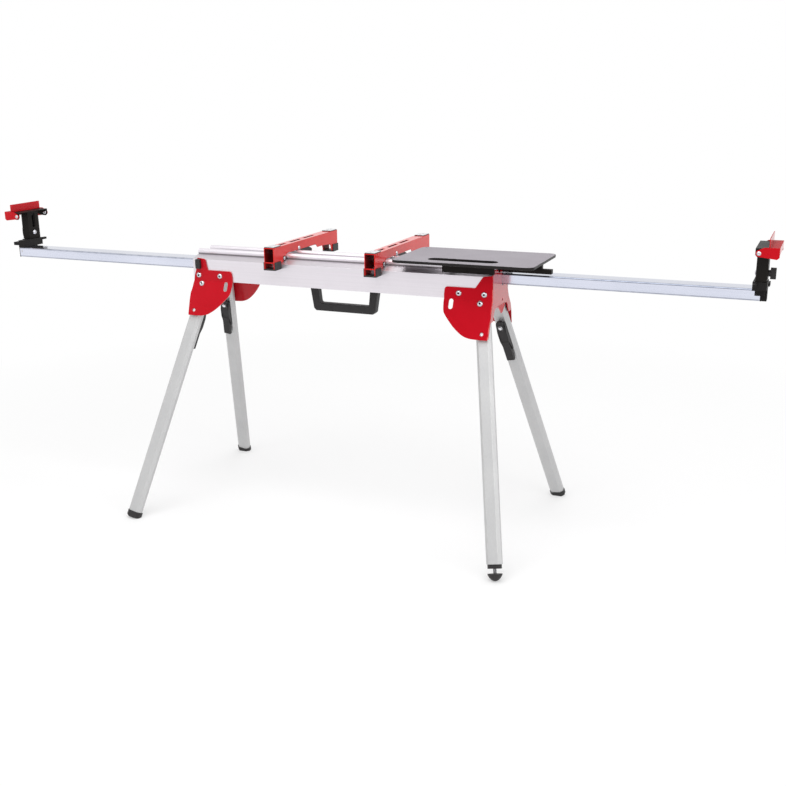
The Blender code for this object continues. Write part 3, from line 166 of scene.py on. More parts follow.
def surface(name, colour, shade, edge_wear_and_sheen, rough, metallic=0.0, cloud=9.0, grain=400.0, stretch=(1, 1, 1),
            bump=0.1, depth=0.0001, rub=0.5, specular=0.5, glare=None, glare_rough=0.12, mottle=0.5,
            soil=(58, 55, 54)):
    """A finish: two tones by the grain, rubbed edges, painted shade by a face mark that darkens grooves, hollows
    and undersides and also colours dark trim, and a gloss seen from the side.
    """
    mat = bpy.data.materials.new(name)
    mat.use_nodes = True
    tree = mat.node_tree
    shader = tree.nodes["Principled BSDF"]
    shader.inputs["Metallic"].default_value = metallic
    shader.inputs["Specular IOR Level"].default_value = specular
    if glare:
        side = tree.nodes.new("ShaderNodeLayerWeight")
        gloss = tree.nodes.new("ShaderNodeMapRange")
        gloss.inputs["From Min"].default_value = glare[0]
        gloss.inputs["From Max"].default_value = glare[1]
        gloss.inputs["To Max"].default_value = glare[2]
        tree.links.new(side.outputs["Facing"], gloss.inputs["Value"])
        dull = tree.nodes.new("ShaderNodeAttribute")
        dull.attribute_name = "matt"
        open_gloss = tree.nodes.new("ShaderNodeMath")
        open_gloss.operation = "SUBTRACT"
        open_gloss.use_clamp = True
        tree.links.new(gloss.outputs["Result"], open_gloss.inputs[0])
        tree.links.new(dull.outputs["Fac"], open_gloss.inputs[1])
        tree.links.new(open_gloss.outputs[0], shader.inputs["Coat Weight"])
        shader.inputs["Coat Roughness"].default_value = glare_rough
        shader.inputs["Coat IOR"].default_value = 1.7
    tone = tree.nodes.new("ShaderNodeGroup")
    tone.node_tree = grain_group()
    tone.inputs["Cloud Scale"].default_value = cloud
    tone.inputs["Grain Scale"].default_value = grain
    tone.inputs["Stretch"].default_value = stretch
    worn = tree.nodes.new("ShaderNodeGroup")
    worn.node_tree = edge_wear_and_sheen_group()
    worn.inputs["Amount"].default_value = rub
    worn.inputs["Patch Scale"].default_value = 70.0
    blend = tree.nodes.new("ShaderNodeMix")
    blend.inputs["Factor"].default_value = mottle
    tree.links.new(tone.outputs["Cloud"], blend.inputs["A"])
    tree.links.new(tone.outputs["Grain"], blend.inputs["B"])
    base = tree.nodes.new("ShaderNodeMix")
    base.data_type = "RGBA"
    base.inputs["A"].default_value = linear(colour)
    base.inputs["B"].default_value = linear(shade)
    tree.links.new(blend.outputs["Result"], base.inputs["Factor"])
    edge = tree.nodes.new("ShaderNodeMix")
    edge.data_type = "RGBA"
    edge.inputs["B"].default_value = linear(edge_wear_and_sheen)
    tree.links.new(worn.outputs["Rub"], edge.inputs["Factor"])
    tree.links.new(base.outputs["Result"], edge.inputs["A"])
    # A face mark that paints shade into grooves, hollows and undersides as a darker colour, and gives the table
    # its black edges.
    corner = tree.nodes.new("ShaderNodeAttribute")
    corner.attribute_name = "soil"
    deep = tree.nodes.new("ShaderNodeMix")
    deep.data_type = "RGBA"
    deep.inputs["B"].default_value = linear(soil)
    tree.links.new(corner.outputs["Fac"], deep.inputs["Factor"])
    tree.links.new(edge.outputs["Result"], deep.inputs["A"])
    tree.links.new(deep.outputs["Result"], shader.inputs["Base Color"])
    polish = tree.nodes.new("ShaderNodeMapRange")
    polish.inputs["To Min"].default_value = rough[0]
    polish.inputs["To Max"].default_value = rough[1]
    tree.links.new(blend.outputs["Result"], polish.inputs["Value"])
    tree.links.new(polish.outputs["Result"], shader.inputs["Roughness"])
    relief = tree.nodes.new("ShaderNodeBump")
    relief.inputs["Strength"].default_value = bump
    relief.inputs["Distance"].default_value = depth
    tree.links.new(tone.outputs["Grain"], relief.inputs["Height"])
    tree.links.new(relief.outputs["Normal"], shader.inputs["Normal"])
    return mat


def merged(node):
    """A copy of one solid with its loose triangles joined and its flat faces whole."""
    bm = bmesh.new()
    bm.from_mesh(solids[node].data)
    bmesh.ops.remove_doubles(bm, verts=bm.verts, dist=0.000003)
    bmesh.ops.dissolve_limit(bm, angle_limit=radians(0.3), verts=bm.verts, edges=bm.edges,
                             use_dissolve_boundaries=False)
    return bm


def ease(bm, width, segments=2, angle=25.0, chosen=None):
    """Round the sharp edges over and mark the new faces for edge wear, which on the red coats is also a painted
    highlight.
    """
    mark = bm.faces.layers.float.get("edge") or bm.faces.layers.float.new("edge")
    sharp = [e for e in bm.edges if len(e.link_faces) == 2 and e.calc_face_angle() > radians(angle)]
    if chosen:
        sharp = [e for e in sharp if chosen(e)]
    made = bmesh.ops.bevel(bm, geom=sharp, offset=width, segments=segments, profile=0.5, affect="EDGES",
                           clamp_overlap=True)
    for face in made["faces"]:
        face[mark] = 1.0
    bm.normal_update()


def piece(bm, name, mat, body, stands_for=()):
    """The finished object: shaded evenly over its flats, painted, riding on its body."""
    for layer in ("edge", "soil", "matt"):
        if not bm.faces.layers.float.get(layer):
            bm.faces.layers.float.new(layer)
    bmesh.ops.triangulate(bm, faces=[f for f in bm.faces if len(f.verts) > 4])
    mesh = bpy.data.meshes.new(name)
    bm.to_mesh(mesh)
    bm.free()
    mesh.materials.append(mat)
    mesh.shade_smooth()
    mesh.set_sharp_from_angle(angle=radians(38.0))
    obj = bpy.data.objects.new(name, mesh)
    bpy.context.scene.collection.objects.link(obj)
    even = obj.modifiers.new("even_flats", "WEIGHTED_NORMAL")
    even.keep_sharp = True
    even.weight = 90
    return settled(obj, even, body, stands_for)


def settled(obj, modifier, body, stands_for):
    """Turn an object and its modifier into a plain mesh, then hand it to its body."""
    bpy.context.view_layer.update()
    baked = bpy.data.meshes.new_from_object(obj.evaluated_get(bpy.context.evaluated_depsgraph_get()))
    baked.name = obj.name
    obj.modifiers.remove(modifier)
    obj.data = baked
    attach(obj, body)
    if stands_for:
        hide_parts(*stands_for)
    return obj


def dressed(node, mat, width, segments=2, angle=25.0):
    """A solid's own shape with its edges eased, in the solid's place."""
    bm = merged(node)
    ease(bm, width, segments, angle)
    return piece(bm, node + "_finished", mat, solids[node]["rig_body"], (node,))


beam_satin = surface("beam_satin_anodised", (232, 227, 233), (222, 217, 223), (240, 238, 242), (0.30, 0.40),
                     metallic=0.85, cloud=3.0, grain=230.0, stretch=(0.012, 1.0, 1.0), bump=0.05, rub=0.4,
                     mottle=0.35, soil=(96, 92, 91))
beam = merged("main_beam")
rail_y, foot_y, foot_z = 0.034, 0.04128, 0.8054
groove_width, groove_depth = 0.003, 0.0016
for side in (-1, 1):
    top = [f for f in beam.faces if side * f.calc_center_median().y > foot_y and f.normal.z > 0.8]
    lines = list(dict.fromkeys(e for f in top for e in f.edges))
    bmesh.ops.bisect_plane(beam, geom=top + lines, plane_co=(0.0, side * (foot_y + groove_width), 0.0),
                           plane_no=(0.0, 1.0, 0.0))
for vert in beam.verts:
    if abs(abs(vert.co.y) - foot_y) < 0.0002 and abs(vert.co.z - foot_z) < 0.0004:
        vert.co.z -= groove_depth
ease(beam, 0.0006, angle=30.0)
# The groove at each rail's foot, the sloping shoulders and the deck between the rails are painted darker: painted
# shade.
groove_low, groove_high, deck_z = 0.8035, 0.8068, 0.79
groove_shade, shoulder_shade, deck_shade = 0.62, 0.30, 0.45
tone = beam.faces.layers.float.get("soil") or beam.faces.layers.float.new("soil")
for face in beam.faces:
    spot = face.calc_center_median()
    out = abs(spot.y)
    if foot_y - 0.0012 < out < foot_y + 0.0032 and groove_low < spot.z < groove_high:
        face[tone] = groove_shade
    elif out > foot_y and face.normal.z > 0.8 and spot.z > deck_z:
        face[tone] = shoulder_shade
    elif out < rail_y and deck_z < spot.z < groove_high:
        face[tone] = deck_shade
piece(beam, "main_beam_finished", beam_satin, solids["main_beam"]["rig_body"], ("main_beam",))

# End brackets: folded from 3 mm steel sheet and powder coated red. The coat is smooth and turns glossy
# where it is seen from the side. Its pressed edges, cut rims and bends are pale in patches, partly worn
# and partly a painted highlight.
red_coat = surface("red_powder_coat", (190, 12, 31), (181, 9, 26), (234, 128, 122), (0.36, 0.46), cloud=12.0,
                   grain=900.0, bump=0.08, depth=0.00005, rub=0.75, specular=0.05, glare=(0.12, 0.62, 1.0),
                   glare_rough=0.16, mottle=0.35, soil=(92, 4, 10))
end_x, plate_y, fold_z, lean = 0.4985, 0.0795, 0.727, 0.4003
bend_radius, tab_slope = 0.0045, radians(16.0)
for word, side in (("left", -1), ("right", 1)):
    bm = merged("bracket_" + word)
    corners = set()
    for vert in bm.verts:
        if abs(side * vert.co.x - end_x) < 0.0002:
            vert.co.x = side * end_x
            skin_y = plate_y + max(0.0, fold_z - vert.co.z) * lean
            if abs(-side * vert.co.y - skin_y) < 0.0004:
                corners.add(vert)
    bends = [e for e in bm.edges if set(e.verts) <= corners and abs(e.verts[0].co.z - e.verts[1].co.z) > 0.02]
    bmesh.ops.remove_doubles(bm, verts=bm.verts, dist=0.00015)
    bmesh.ops.dissolve_limit(bm, angle_limit=radians(0.3), verts=bm.verts, edges=bm.edges,
                             use_dissolve_boundaries=False)
    bends = [e for e in bends if e.is_valid]
    bmesh.ops.bevel(bm, geom=bends, offset=bend_radius, segments=5, profile=0.5, affect="EDGES",
                    clamp_overlap=False)
    bm.normal_update()
    ease(bm, 0.0008, angle=14.0)
    flat = bm.faces.layers.float.new("matt")
    pale_rim = bm.faces.layers.float.get("edge")
    skins = [Vector((1.0, 0.0, 0.0)), Vector((0.0, 1.0, 0.0)), Vector((0.0, 1.0, lean)).normalized(),
             Vector((0.0, -1.0, lean)).normalized()]
    # Rims and bends that face none of the skins take the pale edge colour, a painted highlight; the front and rear
    # skins take none.
    for face in bm.faces:
        if abs(face.normal.x) > 0.9 and abs(abs(face.normal.z) - sin(tab_slope)) < 0.02:
            face[flat] = 0.8
        elif max(abs(face.normal.dot(skin)) for skin in skins) < 0.9:
            face[pale_rim] = 1.0
        elif abs(face.normal.y) > 0.9 and abs(face.normal.x) < 0.1:
            face[pale_rim] = 0.0
    piece(bm, "bracket_" + word + "_finished", red_coat, solids["bracket_" + word]["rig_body"],
          ("bracket_" + word,))

# Bracket and pivot bolts: zinc plated steel, low round heads with a six-sided socket. The bracket
# bolts run right across under the tubes; the pivot bolts carry a collar and a nut for the leg.
def turned(name, profile, sides=24, socket=(), flats=6, dark_rings=()):
    """A small part turned about Z from (radius, height) points; its socket rings are drawn to flats, the socket is
    painted dark as a painted shade, and other listed rings are drawn darker.
    """
    bm = bmesh.new()
    bm.faces.layers.float.new("edge")
    dark = bm.faces.layers.float.new("soil")
    rings = []
    for number, (radius, height) in enumerate(profile):
        if radius == 0.0:
            rings.append([bm.verts.new((0.0, 0.0, height))])
            continue
        ring = []
        for k in range(sides):
            way = 2 * pi * k / sides
            flat = cos(pi / flats) / cos(way % (2 * pi / flats) - pi / flats) if number in socket else 1.0
            ring.append(bm.verts.new((radius * flat * cos(way), radius * flat * sin(way), height)))
        rings.append(ring)
    for number, (one, two) in enumerate(zip(rings, rings[1:])):
        for k in range(sides):
            corners = [one[k % len(one)], one[(k + 1) % len(one)], two[(k + 1) % len(two)], two[k % len(two)]]
            face = bm.faces.new(list(dict.fromkeys(corners)))
            # Socket faces are painted dark, a painted shade; the other listed rings are simply drawn darker.
            face[dark] = 1.0 if number < len(socket) or number in dark_rings else 0.0
    bmesh.ops.recalc_face_normals(bm, faces=bm.faces)
    mesh = bpy.data.meshes.new(name)
    bm.to_mesh(mesh)
    bm.free()
    mesh.shade_smooth()
    mesh.set_sharp_from_angle(angle=radians(35.0))
    return bpy.data.objects.new(name, mesh)


def set_out_tree():
    """Puts a copy of one small part at every point, turned to the point's own facing and spun a little."""
    tree = bpy.data.node_groups.get("set_out")
    if tree:
        return tree
    tree = bpy.data.node_groups.new("set_out", "GeometryNodeTree")
    tree.is_modifier = True
    for name, kind in (("Points", "NodeSocketGeometry"), ("Part", "NodeSocketObject"),
                       ("Spin", "NodeSocketFloat"), ("Finish", "NodeSocketMaterial")):
        tree.interface.new_socket(name, in_out="INPUT", socket_type=kind)
    tree.interface.new_socket("Geometry", in_out="OUTPUT", socket_type="NodeSocketGeometry")
    start = tree.nodes.new("NodeGroupInput")
    end = tree.nodes.new("NodeGroupOutput")
    part = tree.nodes.new("GeometryNodeObjectInfo")
    facing = tree.nodes.new("GeometryNodeInputNamedAttribute")
    facing.data_type = "FLOAT_VECTOR"
    facing.inputs["Name"].default_value = "facing"
    aim = tree.nodes.new("FunctionNodeAlignRotationToVector")
    aim.axis = "Z"
    chance = tree.nodes.new("FunctionNodeRandomValue")
    chance.data_type = "FLOAT"
    chance.inputs["Seed"].default_value = 7
    about = tree.nodes.new("FunctionNodeAxisAngleToRotation")
    about.inputs["Axis"].default_value = (0.0, 0.0, 1.0)
    spun = tree.nodes.new("FunctionNodeRotateRotation")
    spun.rotation_space = "LOCAL"
    copies = tree.nodes.new("GeometryNodeInstanceOnPoints")
    plain = tree.nodes.new("GeometryNodeRealizeInstances")
    coat = tree.nodes.new("GeometryNodeSetMaterial")
    link = tree.links.new
    link(start.outputs["Points"], copies.inputs["Points"])
    link(start.outputs["Part"], part.inputs["Object"])
    link(part.outputs["Geometry"], copies.inputs["Instance"])
    link(facing.outputs["Attribute"], aim.inputs["Vector"])
    link(start.outputs["Spin"], chance.inputs["Max"])
    link(chance.outputs["Value"], about.inputs["Angle"])
    link(aim.outputs["Rotation"], spun.inputs["Rotation"])
    link(about.outputs["Rotation"], spun.inputs["Rotate By"])
    link(spun.outputs["Rotation"], copies.inputs["Rotation"])
    link(copies.outputs["Instances"], plain.inputs["Geometry"])
    link(plain.outputs["Geometry"], coat.inputs["Geometry"])
    link(start.outputs["Finish"], coat.inputs["Material"])
    link(coat.outputs["Geometry"], end.inputs["Geometry"])
    return tree


def set_out(name, part, places, mat, body):
    """Copies of one part at points, each facing its own way, as one plain mesh on a body."""
    mesh = bpy.data.meshes.new(name)
    mesh.from_pydata([spot for spot, way in places], [], [])
    facing = mesh.attributes.new("facing", "FLOAT_VECTOR", "POINT")
    for number, (spot, way) in enumerate(places):
        facing.data[number].vector = way
    obj = bpy.data.objects.new(name, mesh)
    bpy.context.scene.collection.objects.link(obj)
    layout = obj.modifiers.new("set_out", "NODES")
    layout.node_group = set_out_tree()
    inputs = {s.name: s.identifier for s in layout.node_group.interface.items_tree if s.in_out == "INPUT"}
    layout[inputs["Part"]] = part
    layout[inputs["Spin"]] = 2 * pi
    layout[inputs["Finish"]] = mat
    return settled(obj, layout, body, ())


def tip(node, way):
    """The end of a turned pin or head: the point of a solid that lies furthest in one direction."""
    way = Vector(way).normalized()
    return max((v.co for v in solids[node].data.vertices), key=lambda co: co.dot(way)).copy(), way


def headless(node, ways, depth, mat, width, angle=40.0, marks=None):
    """A solid with the crowns of its heads cut down, to take finished heads over them."""
    bm = merged(node)
    for way in ways:
        end, way = tip(node, way)
        for vert in bm.verts:
            over = (vert.co - end).dot(way) + depth
            if over > 0.0:
                vert.co -= way * over
    bmesh.ops.dissolve_degenerate(bm, dist=0.000002, edges=bm.edges)
    ease(bm, width, angle=angle)
    if marks:
        marks(bm)
    return piece(bm, node + "_finished", mat, solids[node]["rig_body"], (node,))


zinc = surface("zinc_plate", (214, 214, 218), (182, 182, 188), (240, 240, 243), (0.16, 0.30), metallic=1.0,
               cloud=60.0, grain=1500.0, bump=0.06, rub=0.4, soil=(26, 25, 25))
bolt_head = turned("bolt_head", [(0.0, -0.0030), (0.0030, -0.0030), (0.0032, -0.0004), (0.0038, 0.0),
                                 (0.0058, -0.0006), (0.0076, -0.0019), (0.0086, -0.0036), (0.0087, -0.0044)],
                   socket=(1, 2))
front, rear = Vector((0.0, -1.0, 0.0)), Vector((0.0, 1.0, 0.0))
crown = 0.0031
heads = []
for word in ("left", "right"):
    for place in ("outer", "inner"):
        node = "bracket_bolt_" + place + "_" + word
        headless(node, (front, rear), crown, zinc, 0.0002)
        heads += [tip(node, front), tip(node, rear)]
plate_lean = radians(21.816)
legs = {}
for word, side in (("front_left", -1), ("front_right", -1), ("rear_left", 1), ("rear_right", 1)):
    legs[word] = Vector((0.0, side * cos(plate_lean), sin(plate_lean)))
    headless("pivot_bolt_" + word, (legs[word],), crown, zinc, 0.0002)
    heads.append(tip("pivot_bolt_" + word, legs[word]))
set_out("bracket_bolt_heads", bolt_head, heads, zinc, solids["main_beam"]["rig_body"])

# Carrying handle: a moulded black grip under the middle of the beam, screwed up into it, with
# full round edges and a fine grained skin.
black_mould = surface("black_moulding", (43, 41, 42), (33, 31, 32), (78, 76, 76), (0.42, 0.56), cloud=30.0,
                      grain=2200.0, bump=0.15, depth=0.00008, rub=0.35, specular=0.35, soil=(16, 15, 15))
dressed("carry_handle", black_mould, 0.0020, segments=3, angle=35.0)

# Legs: eight-sided aluminium tubes, drawn and satin anodised, each hung on its pivot bolt so that
# it swings up under the beam.
leg_satin = surface("leg_satin_anodised", (199, 199, 199), (186, 186, 187), (220, 220, 220), (0.40, 0.52),
                    metallic=0.55, cloud=6.0, grain=320.0, stretch=(1.0, 1.0, 0.02), bump=0.06, rub=0.5,
                    mottle=0.4)
for word in legs:
    dressed("leg_" + word, leg_satin, 0.0008)

# Foot caps: black nylon sleeves pushed over the leg ends. The front right one takes a steel stud
# with a rolled thread, screwed out to level the stand, on a moulded foot.
for word in legs:
    dressed("foot_cap_" + word, black_mould, 0.0012)
nickel = surface("nickel_plate", (238, 238, 241), (224, 224, 228), (246, 246, 248), (0.20, 0.32), metallic=0.5,
                 cloud=60.0, grain=1500.0, bump=0.04, rub=0.3, soil=(22, 21, 21))
stud_way = Vector(next(joint["axis"] for joint in frame["joints"] if joint["name"] == "level")).normalized()
foot_tip = tip("level_foot", -stud_way)[0]
foot_height, stud_top, pitch = 0.021, 0.050, 0.0015
root, crest, core_share = 0.0041, 0.0050, 0.7
bm = merged("level_foot")
for vert in bm.verts:
    height = (vert.co - foot_tip).dot(stud_way)
    if height > foot_height + 0.0005:
        core = foot_tip + stud_way * height
        vert.co = core + (vert.co - core) * core_share
ease(bm, 0.0008)
piece(bm, "level_foot_finished", black_mould, solids["level_foot"]["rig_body"], ("level_foot",))
turns = int((stud_top - foot_height) / pitch)
thread_line = [(0.0, foot_height - 0.001), (root, foot_height - 0.001)]
for k in range(turns):
    thread_line += [(root, foot_height + k * pitch), (crest, foot_height + (k + 0.4) * pitch),
                    (crest, foot_height + (k + 0.6) * pitch)]
thread_line += [(root, foot_height + turns * pitch), (0.0, foot_height + turns * pitch)]
thread = turned("thread", thread_line, sides=20)
set_out("level_foot_thread", thread, [(foot_tip, stud_way)], nickel, solids["level_foot"]["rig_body"])

# Leg locks: a nylon base on the leg's inner face, a lever hinged in it, and a turned steel pin that
# the lever draws out of the plate. The pin's ringed head shows at the lever's upper end.
pin_cap = turned("pin_cap", [(0.0, 0.0), (0.0042, -0.0003), (0.0052, -0.0012), (0.0054, -0.0022),
                             (0.0060, -0.0023), (0.0065, -0.0018), (0.0068, -0.0022), (0.0068, -0.0030)],
                 dark_rings=(2, 3, 4))


def round_top(bm, across, along):
    """Trim the upper end of a lever or its base to a half round, in flats."""
    spans = [v.co.dot(across) for v in bm.verts]
    half = (max(spans) - min(spans)) / 2
    centre = across * (min(spans) + half) + along * (max(v.co.dot(along) for v in bm.verts) - half)
    for angle in (-67.5, -45.0, -22.5, 22.5, 45.0, 67.5):
        way = along * cos(radians(angle)) + across * sin(radians(angle))
        sliced = bmesh.ops.bisect_plane(bm, geom=bm.verts[:] + bm.edges[:] + bm.faces[:], plane_no=way,
                                        plane_co=centre + way * half, clear_outer=True)
        cut = [e for e in sliced["geom_cut"] if isinstance(e, bmesh.types.BMEdge)]
        bmesh.ops.holes_fill(bm, edges=cut, sides=0)
    bm.normal_update()


recess_top, recess_end, recess_border, recess_depth = 0.40, 0.52, 0.0018, 0.0014
for word in legs:
    across = Vector(next(j["axis"] for j in frame["joints"] if j["name"] == "squeeze_" + word)).normalized()
    along = across.cross(legs[word]).normalized()
    along = along if along.z > 0 else -along
    bm = merged("lever_base_" + word)
    round_top(bm, across, along)
    ease(bm, 0.0006)
    piece(bm, "lever_base_" + word + "_finished", black_mould, solids["lever_base_" + word]["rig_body"],
          ("lever_base_" + word,))
    bm = merged("lever_" + word)
    round_top(bm, across, along)
    heights = [v.co.dot(along) for v in bm.verts]
    reach = max(heights) - min(heights)
    for share in (recess_top, recess_end):
        bmesh.ops.bisect_plane(bm, geom=bm.verts[:] + bm.edges[:] + bm.faces[:], plane_no=along,
                               plane_co=along * (max(heights) - share * reach))
    bm.normal_update()
    ease(bm, 0.0016, segments=3, angle=35.0)
    # The walls of the finger recess are painted dark: painted shade.
    deep = bm.faces.layers.float.new("soil")
    finger = [f for f in bm.faces if f.normal.dot(-legs[word]) > 0.9 and f.calc_area() > 0.00005
              and recess_top < (max(heights) - f.calc_center_median().dot(along)) / reach < recess_end]
    walls = bmesh.ops.inset_region(bm, faces=finger, thickness=recess_border, depth=-recess_depth,
                                   use_even_offset=True)
    for face in walls["faces"]:
        face[deep] = 1.0
    bm.normal_update()
    piece(bm, "lever_" + word + "_finished", black_mould, solids["lever_" + word]["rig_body"],
          ("lever_" + word,))
    headless("lock_pin_" + word, (-legs[word],), 0.0028, nickel, 0.0003)
    set_out("lock_pin_cap_" + word, pin_cap, [tip("lock_pin_" + word, -legs[word])], nickel,
            solids["lock_pin_" + word]["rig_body"])

# Pull-out tubes: drawn steel tube with rolled corners, bright zinc plated with a cool blue cast and
# riveted near the outer end to the plug of the work support. The rolled corners and the top faces are
# painted darker than the flats, a painted shade, most of all along the top of the right tube.
tube_bright = surface("tube_bright_zinc", (226, 229, 243), (212, 216, 231), (140, 146, 160), (0.10, 0.20),
                      metallic=1.0, cloud=5.0, grain=240.0, stretch=(0.012, 1.0, 1.0), bump=0.03, rub=0.3,
                      mottle=0.4, soil=(70, 78, 94))
rivet = turned("rivet", [(0.0, -0.0006), (0.0012, -0.0004), (0.0020, 0.0), (0.0040, -0.0005), (0.0054, -0.0016),
                         (0.0062, -0.0030), (0.0062, -0.0036)])
small_rivet = turned("small_rivet", [(0.0, -0.0003), (0.0012, 0.0), (0.0032, -0.0004), (0.0040, -0.0012),
                                     (0.0052, -0.0013), (0.0053, -0.0018)], sides=18, dark_rings=(3,))
tube_corner, low_corner_shade, top_face_shade, rivet_in = 0.0045, 0.42, 0.24, 0.009
for word, side, top_corner_shade in (("left", -1, 0.32), ("right", 1, 0.7)):
    node = "pull_tube_" + word
    bm = merged(node)
    low, high = (Vector(corner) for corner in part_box(node))
    corners = [(y, z) for y in (low.y, high.y) for z in (low.z, high.z)]
    ease(bm, tube_corner, segments=4, chosen=lambda e: any(
        all(abs(v.co.y - y) + abs(v.co.z - z) < 0.0004 for v in e.verts) for y, z in corners))
    rolled = bm.faces.layers.float.get("edge")
    tone = bm.faces.layers.float.new("soil")
    # Rolled corners and top faces take a darker colour: painted shade.
    for face in bm.faces:
        if face[rolled] > 0.5:
            face[tone] = top_corner_shade if face.normal.z > 0 else low_corner_shade
        elif face.normal.z > 0.9:
            face[tone] = top_face_shade
    ease(bm, 0.0006)
    piece(bm, node + "_finished", tube_bright, solids[node]["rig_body"], (node,))
    rivet_x = high.x - rivet_in if side > 0 else low.x + rivet_in
    places = [(Vector((rivet_x, y, (low.z + high.z) / 2 + 0.004)), Vector((0.0, way, 0.0)))
              for y, way in ((low.y - 0.0008, -1.0), (high.y + 0.0008, 1.0))]
    set_out("tube_rivets_" + word, small_rivet, places, zinc, solids[node]["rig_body"])

# Work supports: a moulded base plugged into the tube, a pressed steel column with its head plate,
# enamelled black, that slides up a post, and a wing knob whose screw crosses both.
black_enamel = surface("black_enamel", (35, 32, 30), (27, 25, 24), (70, 66, 63), (0.36, 0.46), cloud=18.0,
                       grain=1400.0, bump=0.03, depth=0.00004, rub=0.4, specular=0.06, soil=(14, 13, 13))
base_mould = surface("base_moulding", (30, 28, 28), (23, 21, 21), (60, 57, 57), (0.44, 0.58), cloud=30.0,
                     grain=1500.0, bump=0.2, depth=0.00005, rub=0.5, specular=0.15, soil=(14, 13, 13))
screw_head = turned("screw_head", [(0.0, 0.0), (0.0035, -0.0005), (0.0062, -0.0018), (0.0080, -0.0040),
                                   (0.0083, -0.0046)])
for word, side in (("left", -1), ("right", 1)):
    inward = Vector((-side, 0.0, 0.0))
    dressed("support_base_" + word, base_mould, 0.0010)
    dressed("column_" + word, black_enamel, 0.0005)
    headless("knob_" + word, (inward,), 0.0036, black_mould, 0.0035, angle=35.0)
    set_out("knob_screw_" + word, screw_head, [tip("knob_" + word, inward)], zinc,
            solids["knob_" + word]["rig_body"])

# Flip stops: pressed from sheet with a fence and two ears, coated red like the brackets but duller,
# each ear turning on a bright rivet in the head plate.
red_dull = surface("red_stop_coat", (196, 20, 32), (184, 15, 27), (230, 104, 98), (0.38, 0.48), cloud=16.0,
                   grain=900.0, bump=0.02, depth=0.00004, rub=0.4, specular=0.06, glare=(0.21, 0.80, 1.0),
                   glare_rough=0.20, mottle=0.35, soil=(110, 8, 14))


def shaded_ledge(bm):
    """The ledge's top is scuffed dull by the work that lies on it, without the side gloss, and painted darker: a
    painted shade.
    """
    flat = bm.faces.layers.float.get("matt") or bm.faces.layers.float.new("matt")
    shade = bm.faces.layers.float.get("soil") or bm.faces.layers.float.new("soil")
    for face in bm.faces:
        if face.normal.z > 0.8:
            face[flat] = 1.0
            face[shade] = 0.45


clinch_y = 0.0629
for word in ("left", "right"):
    node = "flip_stop_" + word
    headless(node, (front, rear), 0.0024, red_dull, 0.0004, angle=25.0, marks=shaded_ledge)
    places = [tip(node, front), tip(node, rear)]
    hinge = places[0][0]
    places += [(Vector((hinge.x, -clinch_y, hinge.z)), rear), (Vector((hinge.x, clinch_y, hinge.z)), front)]
    set_out("flip_stop_rivets_" + word, rivet, places, zinc, solids[node]["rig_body"])

# Tube locks: small grips moulded in black nylon, one on the neck of each bracket. Each turns on a
# shaft that bears on the side of the tube.
for word in ("left", "right"):
    dressed("tube_lock_" + word, black_mould, 0.0010)

# Saw clamps: inverted channels of red coated sheet lying across the rails. A riveted pin hooks
# under the front rail and a black cam lever, on a pin of its own, grips behind the rear rail.
right, left = Vector((1.0, 0.0, 0.0)), Vector((-1.0, 0.0, 0.0))
red_warm = surface("red_clamp_coat", (212, 40, 36), (203, 33, 31), (236, 128, 118), (0.34, 0.44), cloud=12.0,
                   grain=900.0, bump=0.06, depth=0.00005, rub=0.6, specular=0.10, glare=(0.30, 0.80, 0.9),
                   glare_rough=0.16, mottle=0.35, soil=(40, 3, 6))


def shade_inside_channel(bm):
    """Paint shade on the faces that look into the channel and under its middle, and take their side gloss away."""
    spans = [v.co.x for v in bm.verts]
    middle, half = (max(spans) + min(spans)) / 2, (max(spans) - min(spans)) / 2
    shade = bm.faces.layers.float.get("soil") or bm.faces.layers.float.new("soil")
    flat = bm.faces.layers.float.get("matt") or bm.faces.layers.float.new("matt")
    for face in bm.faces:
        spot = face.calc_center_median()
        inward = abs(face.normal.x) > 0.9 and face.normal.x * (spot.x - middle) < 0.0
        if inward or face.normal.z < -0.9 and abs(spot.x - middle) < 0.6 * half:
            face[shade] = 0.75
            face[flat] = 1.0


washer = turned("washer", [(0.0030, -0.0018), (0.0072, -0.0018), (0.0078, -0.0022), (0.0078, -0.0034),
                           (0.0030, -0.0034)])
for word in ("left", "right"):
    for node, mat, slot, width, angle in (("saw_clamp_" + word, red_warm, "red_paint", 0.0004, 25.0),
                                          ("cam_lever_" + word, black_mould, "black_plastic", 0.0010, 35.0)):
        headless(node, (right, left), 0.0026, mat, width, angle, shade_inside_channel if mat is red_warm else None)
        set_out(node + "_pin_heads", rivet, [tip(node, right), tip(node, left)], zinc,
                solids[node]["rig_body"])
        if node.startswith("saw_clamp"):
            set_out(node + "_pin_washers", washer, [tip(node, right), tip(node, left)], black_enamel,
                    solids[node]["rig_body"])

